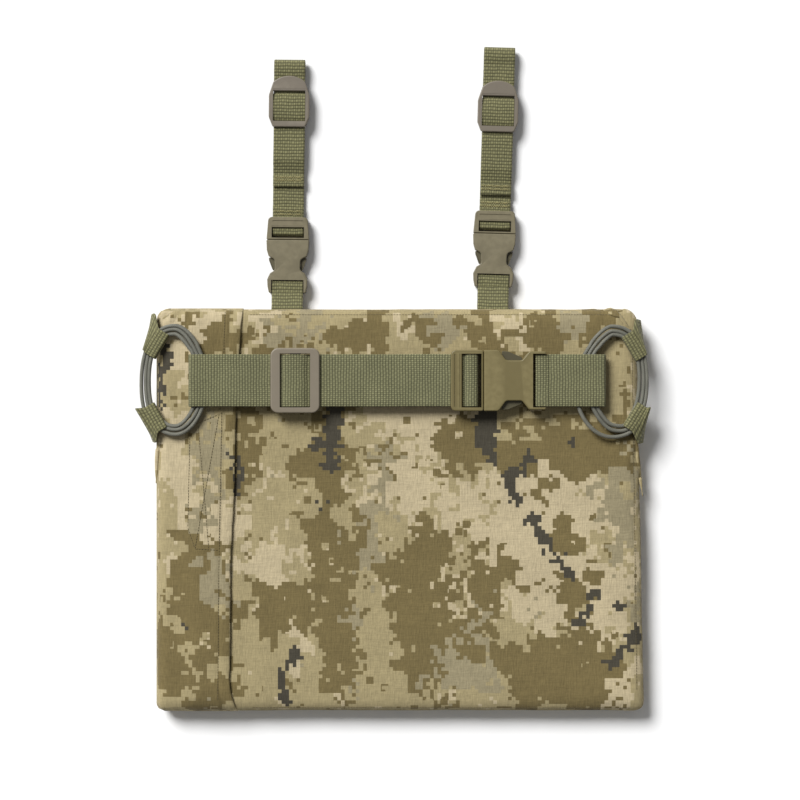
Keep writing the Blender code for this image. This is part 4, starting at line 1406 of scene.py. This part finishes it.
# Each strap: the middle of the socket's end bar, its lean in degrees, and, from that bar up the strap, the
# ladder lock, the hem of its turned-down end, its top and the tack that holds its tail.
STRAPS = (
    {"side": "left", "x": -81.5, "bar_y": 70.2, "lean": 0.6,
     "lock": 140.2, "hem": 79.4, "top": 177.1, "tack": 57.4},
    {"side": "right", "x": 77.6, "bar_y": 75.0, "lean": 1.6,
     "lock": 131.6, "hem": 67.9, "top": 181.9, "tack": 59.0},
)


def along_strap(path, place, seed=0.0):
    """Rulings across a strap whose middle follows (distance up the strap, height) points."""
    rulings = []
    half = STRAP_WIDTH / 2
    for s, z in path:
        drift = 0.25 * noise.noise(Vector((s * 0.03, seed, 2.0)))
        rulings.append((place @ Vector((-half + drift, s, z)), place @ Vector((half + drift, s, z))))
    return rulings


def make_strap(strap):
    side = strap["side"]
    name = side + "_strap"
    gap, thickness = 1.6, STRAP_THICKNESS
    middle = gap + thickness / 2
    place = Matrix.Translation((strap["x"], strap["bar_y"], STRAP_Z)) @ Matrix.Rotation(
        -math.radians(strap["lean"]), 4, "Z")
    reach = (strap["bar_y"] - PAD_TOP - 0.6) / math.cos(math.radians(strap["lean"]))
    sewn = reach + 3.6
    anchor = [(-sewn, 9.4 - STRAP_Z), (-reach, 8.6 - STRAP_Z), (-0.5 * reach, 5.2 - STRAP_Z),
              *arc((0, 0), middle, -90, 90, 14), (-0.5 * reach, 9.0 - STRAP_Z), (-reach, 11.0 - STRAP_Z),
              (-sewn, 11.4 - STRAP_Z)]
    rulings = smoothed(along_strap(dense(anchor, 1.2), place), 2)
    made = tape(name + "_anchor_tape", rulings, thickness, WEB_STRAP, seed=7.0)
    settled(made, "panel", "olive_webbing", name + "_anchor")

    plug_from = STRAP_BUCKLE["bar"]
    buckle_place = place @ Matrix.Translation((0, plug_from, 0)) @ Matrix.Rotation(-math.pi / 2, 4, "Z")
    bodies = {"socket": side + "_socket", "plug": side + "_strap",
              "arm_a": side + "_arm_a", "arm_b": side + "_arm_b"}
    make_buckle(name, STRAP_BUCKLE, buckle_place, BUCKLE_TAUPE, "taupe_plastic", bodies)

    wrap = plug_from - STRAP_BUCKLE["wrap_bar"]
    open_gap = 2.8
    open_middle = open_gap + thickness / 2
    top = strap["top"] - open_gap - thickness
    open_from = strap["top"] - 13.5
    open_by = open_from + 5.4
    rest = -middle + thickness + 0.25
    hem_radius = (thickness + 0.3) / 2
    hem_middle = rest + hem_radius
    path = [(63.0, rest), (56.5, rest), (49.5, middle - 0.2), *arc((wrap, 0), middle, 90, 270, 14),
            (open_from, -middle), (open_by, -open_middle), *arc((top, 0), open_middle, -90, 90, 14),
            (open_by, open_middle), (open_from, middle), (strap["hem"] + 20.0, middle), (strap["hem"] + 10.0, rest),
            *arc((strap["hem"] + hem_radius, hem_middle), hem_radius, 270, 90, 10),
            (strap["hem"] + 8.0, hem_middle + hem_radius)]
    rulings = along_strap(dense(path, 1.4), place, 3.0)
    made = tape(name + "_tape", rulings, thickness, WEB_STRAP, seed=2.0)
    settled(made, side + "_strap", "olive_webbing", name + "_webbing")

    lock_place = place @ Matrix.Translation((0, strap["lock"], 0)) @ Matrix.Rotation(math.pi / 2, 4, "Z")
    make_ladder_lock(side, lock_place)
    top_of_tape = middle + thickness / 2 + 0.1
    hump(name + "_over_lock_bar", lock_place @ Matrix.Translation((-0.2, 0, 0)), 10.5, 24.8, top_of_tape, 1.8,
         side + "_lock", material=WEB_STRAP)
    hump(name + "_over_socket_bar", buckle_place @ Matrix.Translation((37.0, 0, 0)), 5.4, 23.6, top_of_tape,
         0.6, "panel", material=WEB_STRAP)

    # Bar tacks hold the tail and the hem.
    up = place.to_3x3() @ Vector((0, 0, 1))
    lines = []
    for centre, height in ((strap["tack"], rest + 0.62), (strap["tack"] + 2.6, rest + 0.62),
                           (strap["hem"] + 4.2, rest + 2.14), (strap["hem"] + 6.6, rest + 2.14)):
        zigzag = []
        for k in range(33):
            v = -10.8 + 21.6 * k / 32
            zigzag.append((place @ Vector((v, centre + (0.9 if k % 2 else -0.9), height)), up))
        lines.append(zigzag)
    made = stitches(name + "_stitching", lines, STRAP_THREAD, 1.9, 0.25, 0.27)
    settled(made, side + "_strap", "olive_webbing")


make_belt()
for strap in STRAPS:
    make_strap(strap)


# ================================================================ floor, light, camera

def make_stage():
    mesh = bpy.data.meshes.new("floor")
    side, below = 8.0, -0.0004
    mesh.from_pydata([(-side, -side, below), (side, -side, below), (side, side, below), (-side, side, below)],
                     [], [(0, 1, 2, 3)])
    mesh.materials.append(floor_paper())
    floor = bpy.data.objects.new("floor", mesh)
    bpy.context.scene.collection.objects.link(floor)

    world = bpy.data.worlds.new("studio")
    world.use_nodes = True
    world.node_tree.nodes["Background"].inputs[0].default_value = (1.0, 1.0, 1.0, 1.0)
    world.node_tree.nodes["Background"].inputs[1].default_value = 0.22
    scene = bpy.context.scene
    scene.world = world

    light = bpy.data.lights.new("key", "SUN")
    light.energy = 4.4
    light.angle = math.radians(27)
    lamp = bpy.data.objects.new("key", light)
    lamp.rotation_euler = Vector((0.85, -1.05, -1.25)).to_track_quat("-Z", "Y").to_euler()
    scene.collection.objects.link(lamp)

    camera = bpy.data.cameras.new("camera")
    camera.sensor_width = 36.0
    camera.lens = 116.9
    camera.clip_end = 20.0
    holder = bpy.data.objects.new("camera", camera)
    holder.location = (0.0035, -0.0163, 2.015)
    scene.collection.objects.link(holder)
    scene.camera = holder
    scene.view_settings.view_transform = "Standard"
    scene.view_settings.look = "None"


make_stage()

bpy.context.view_layer.update()
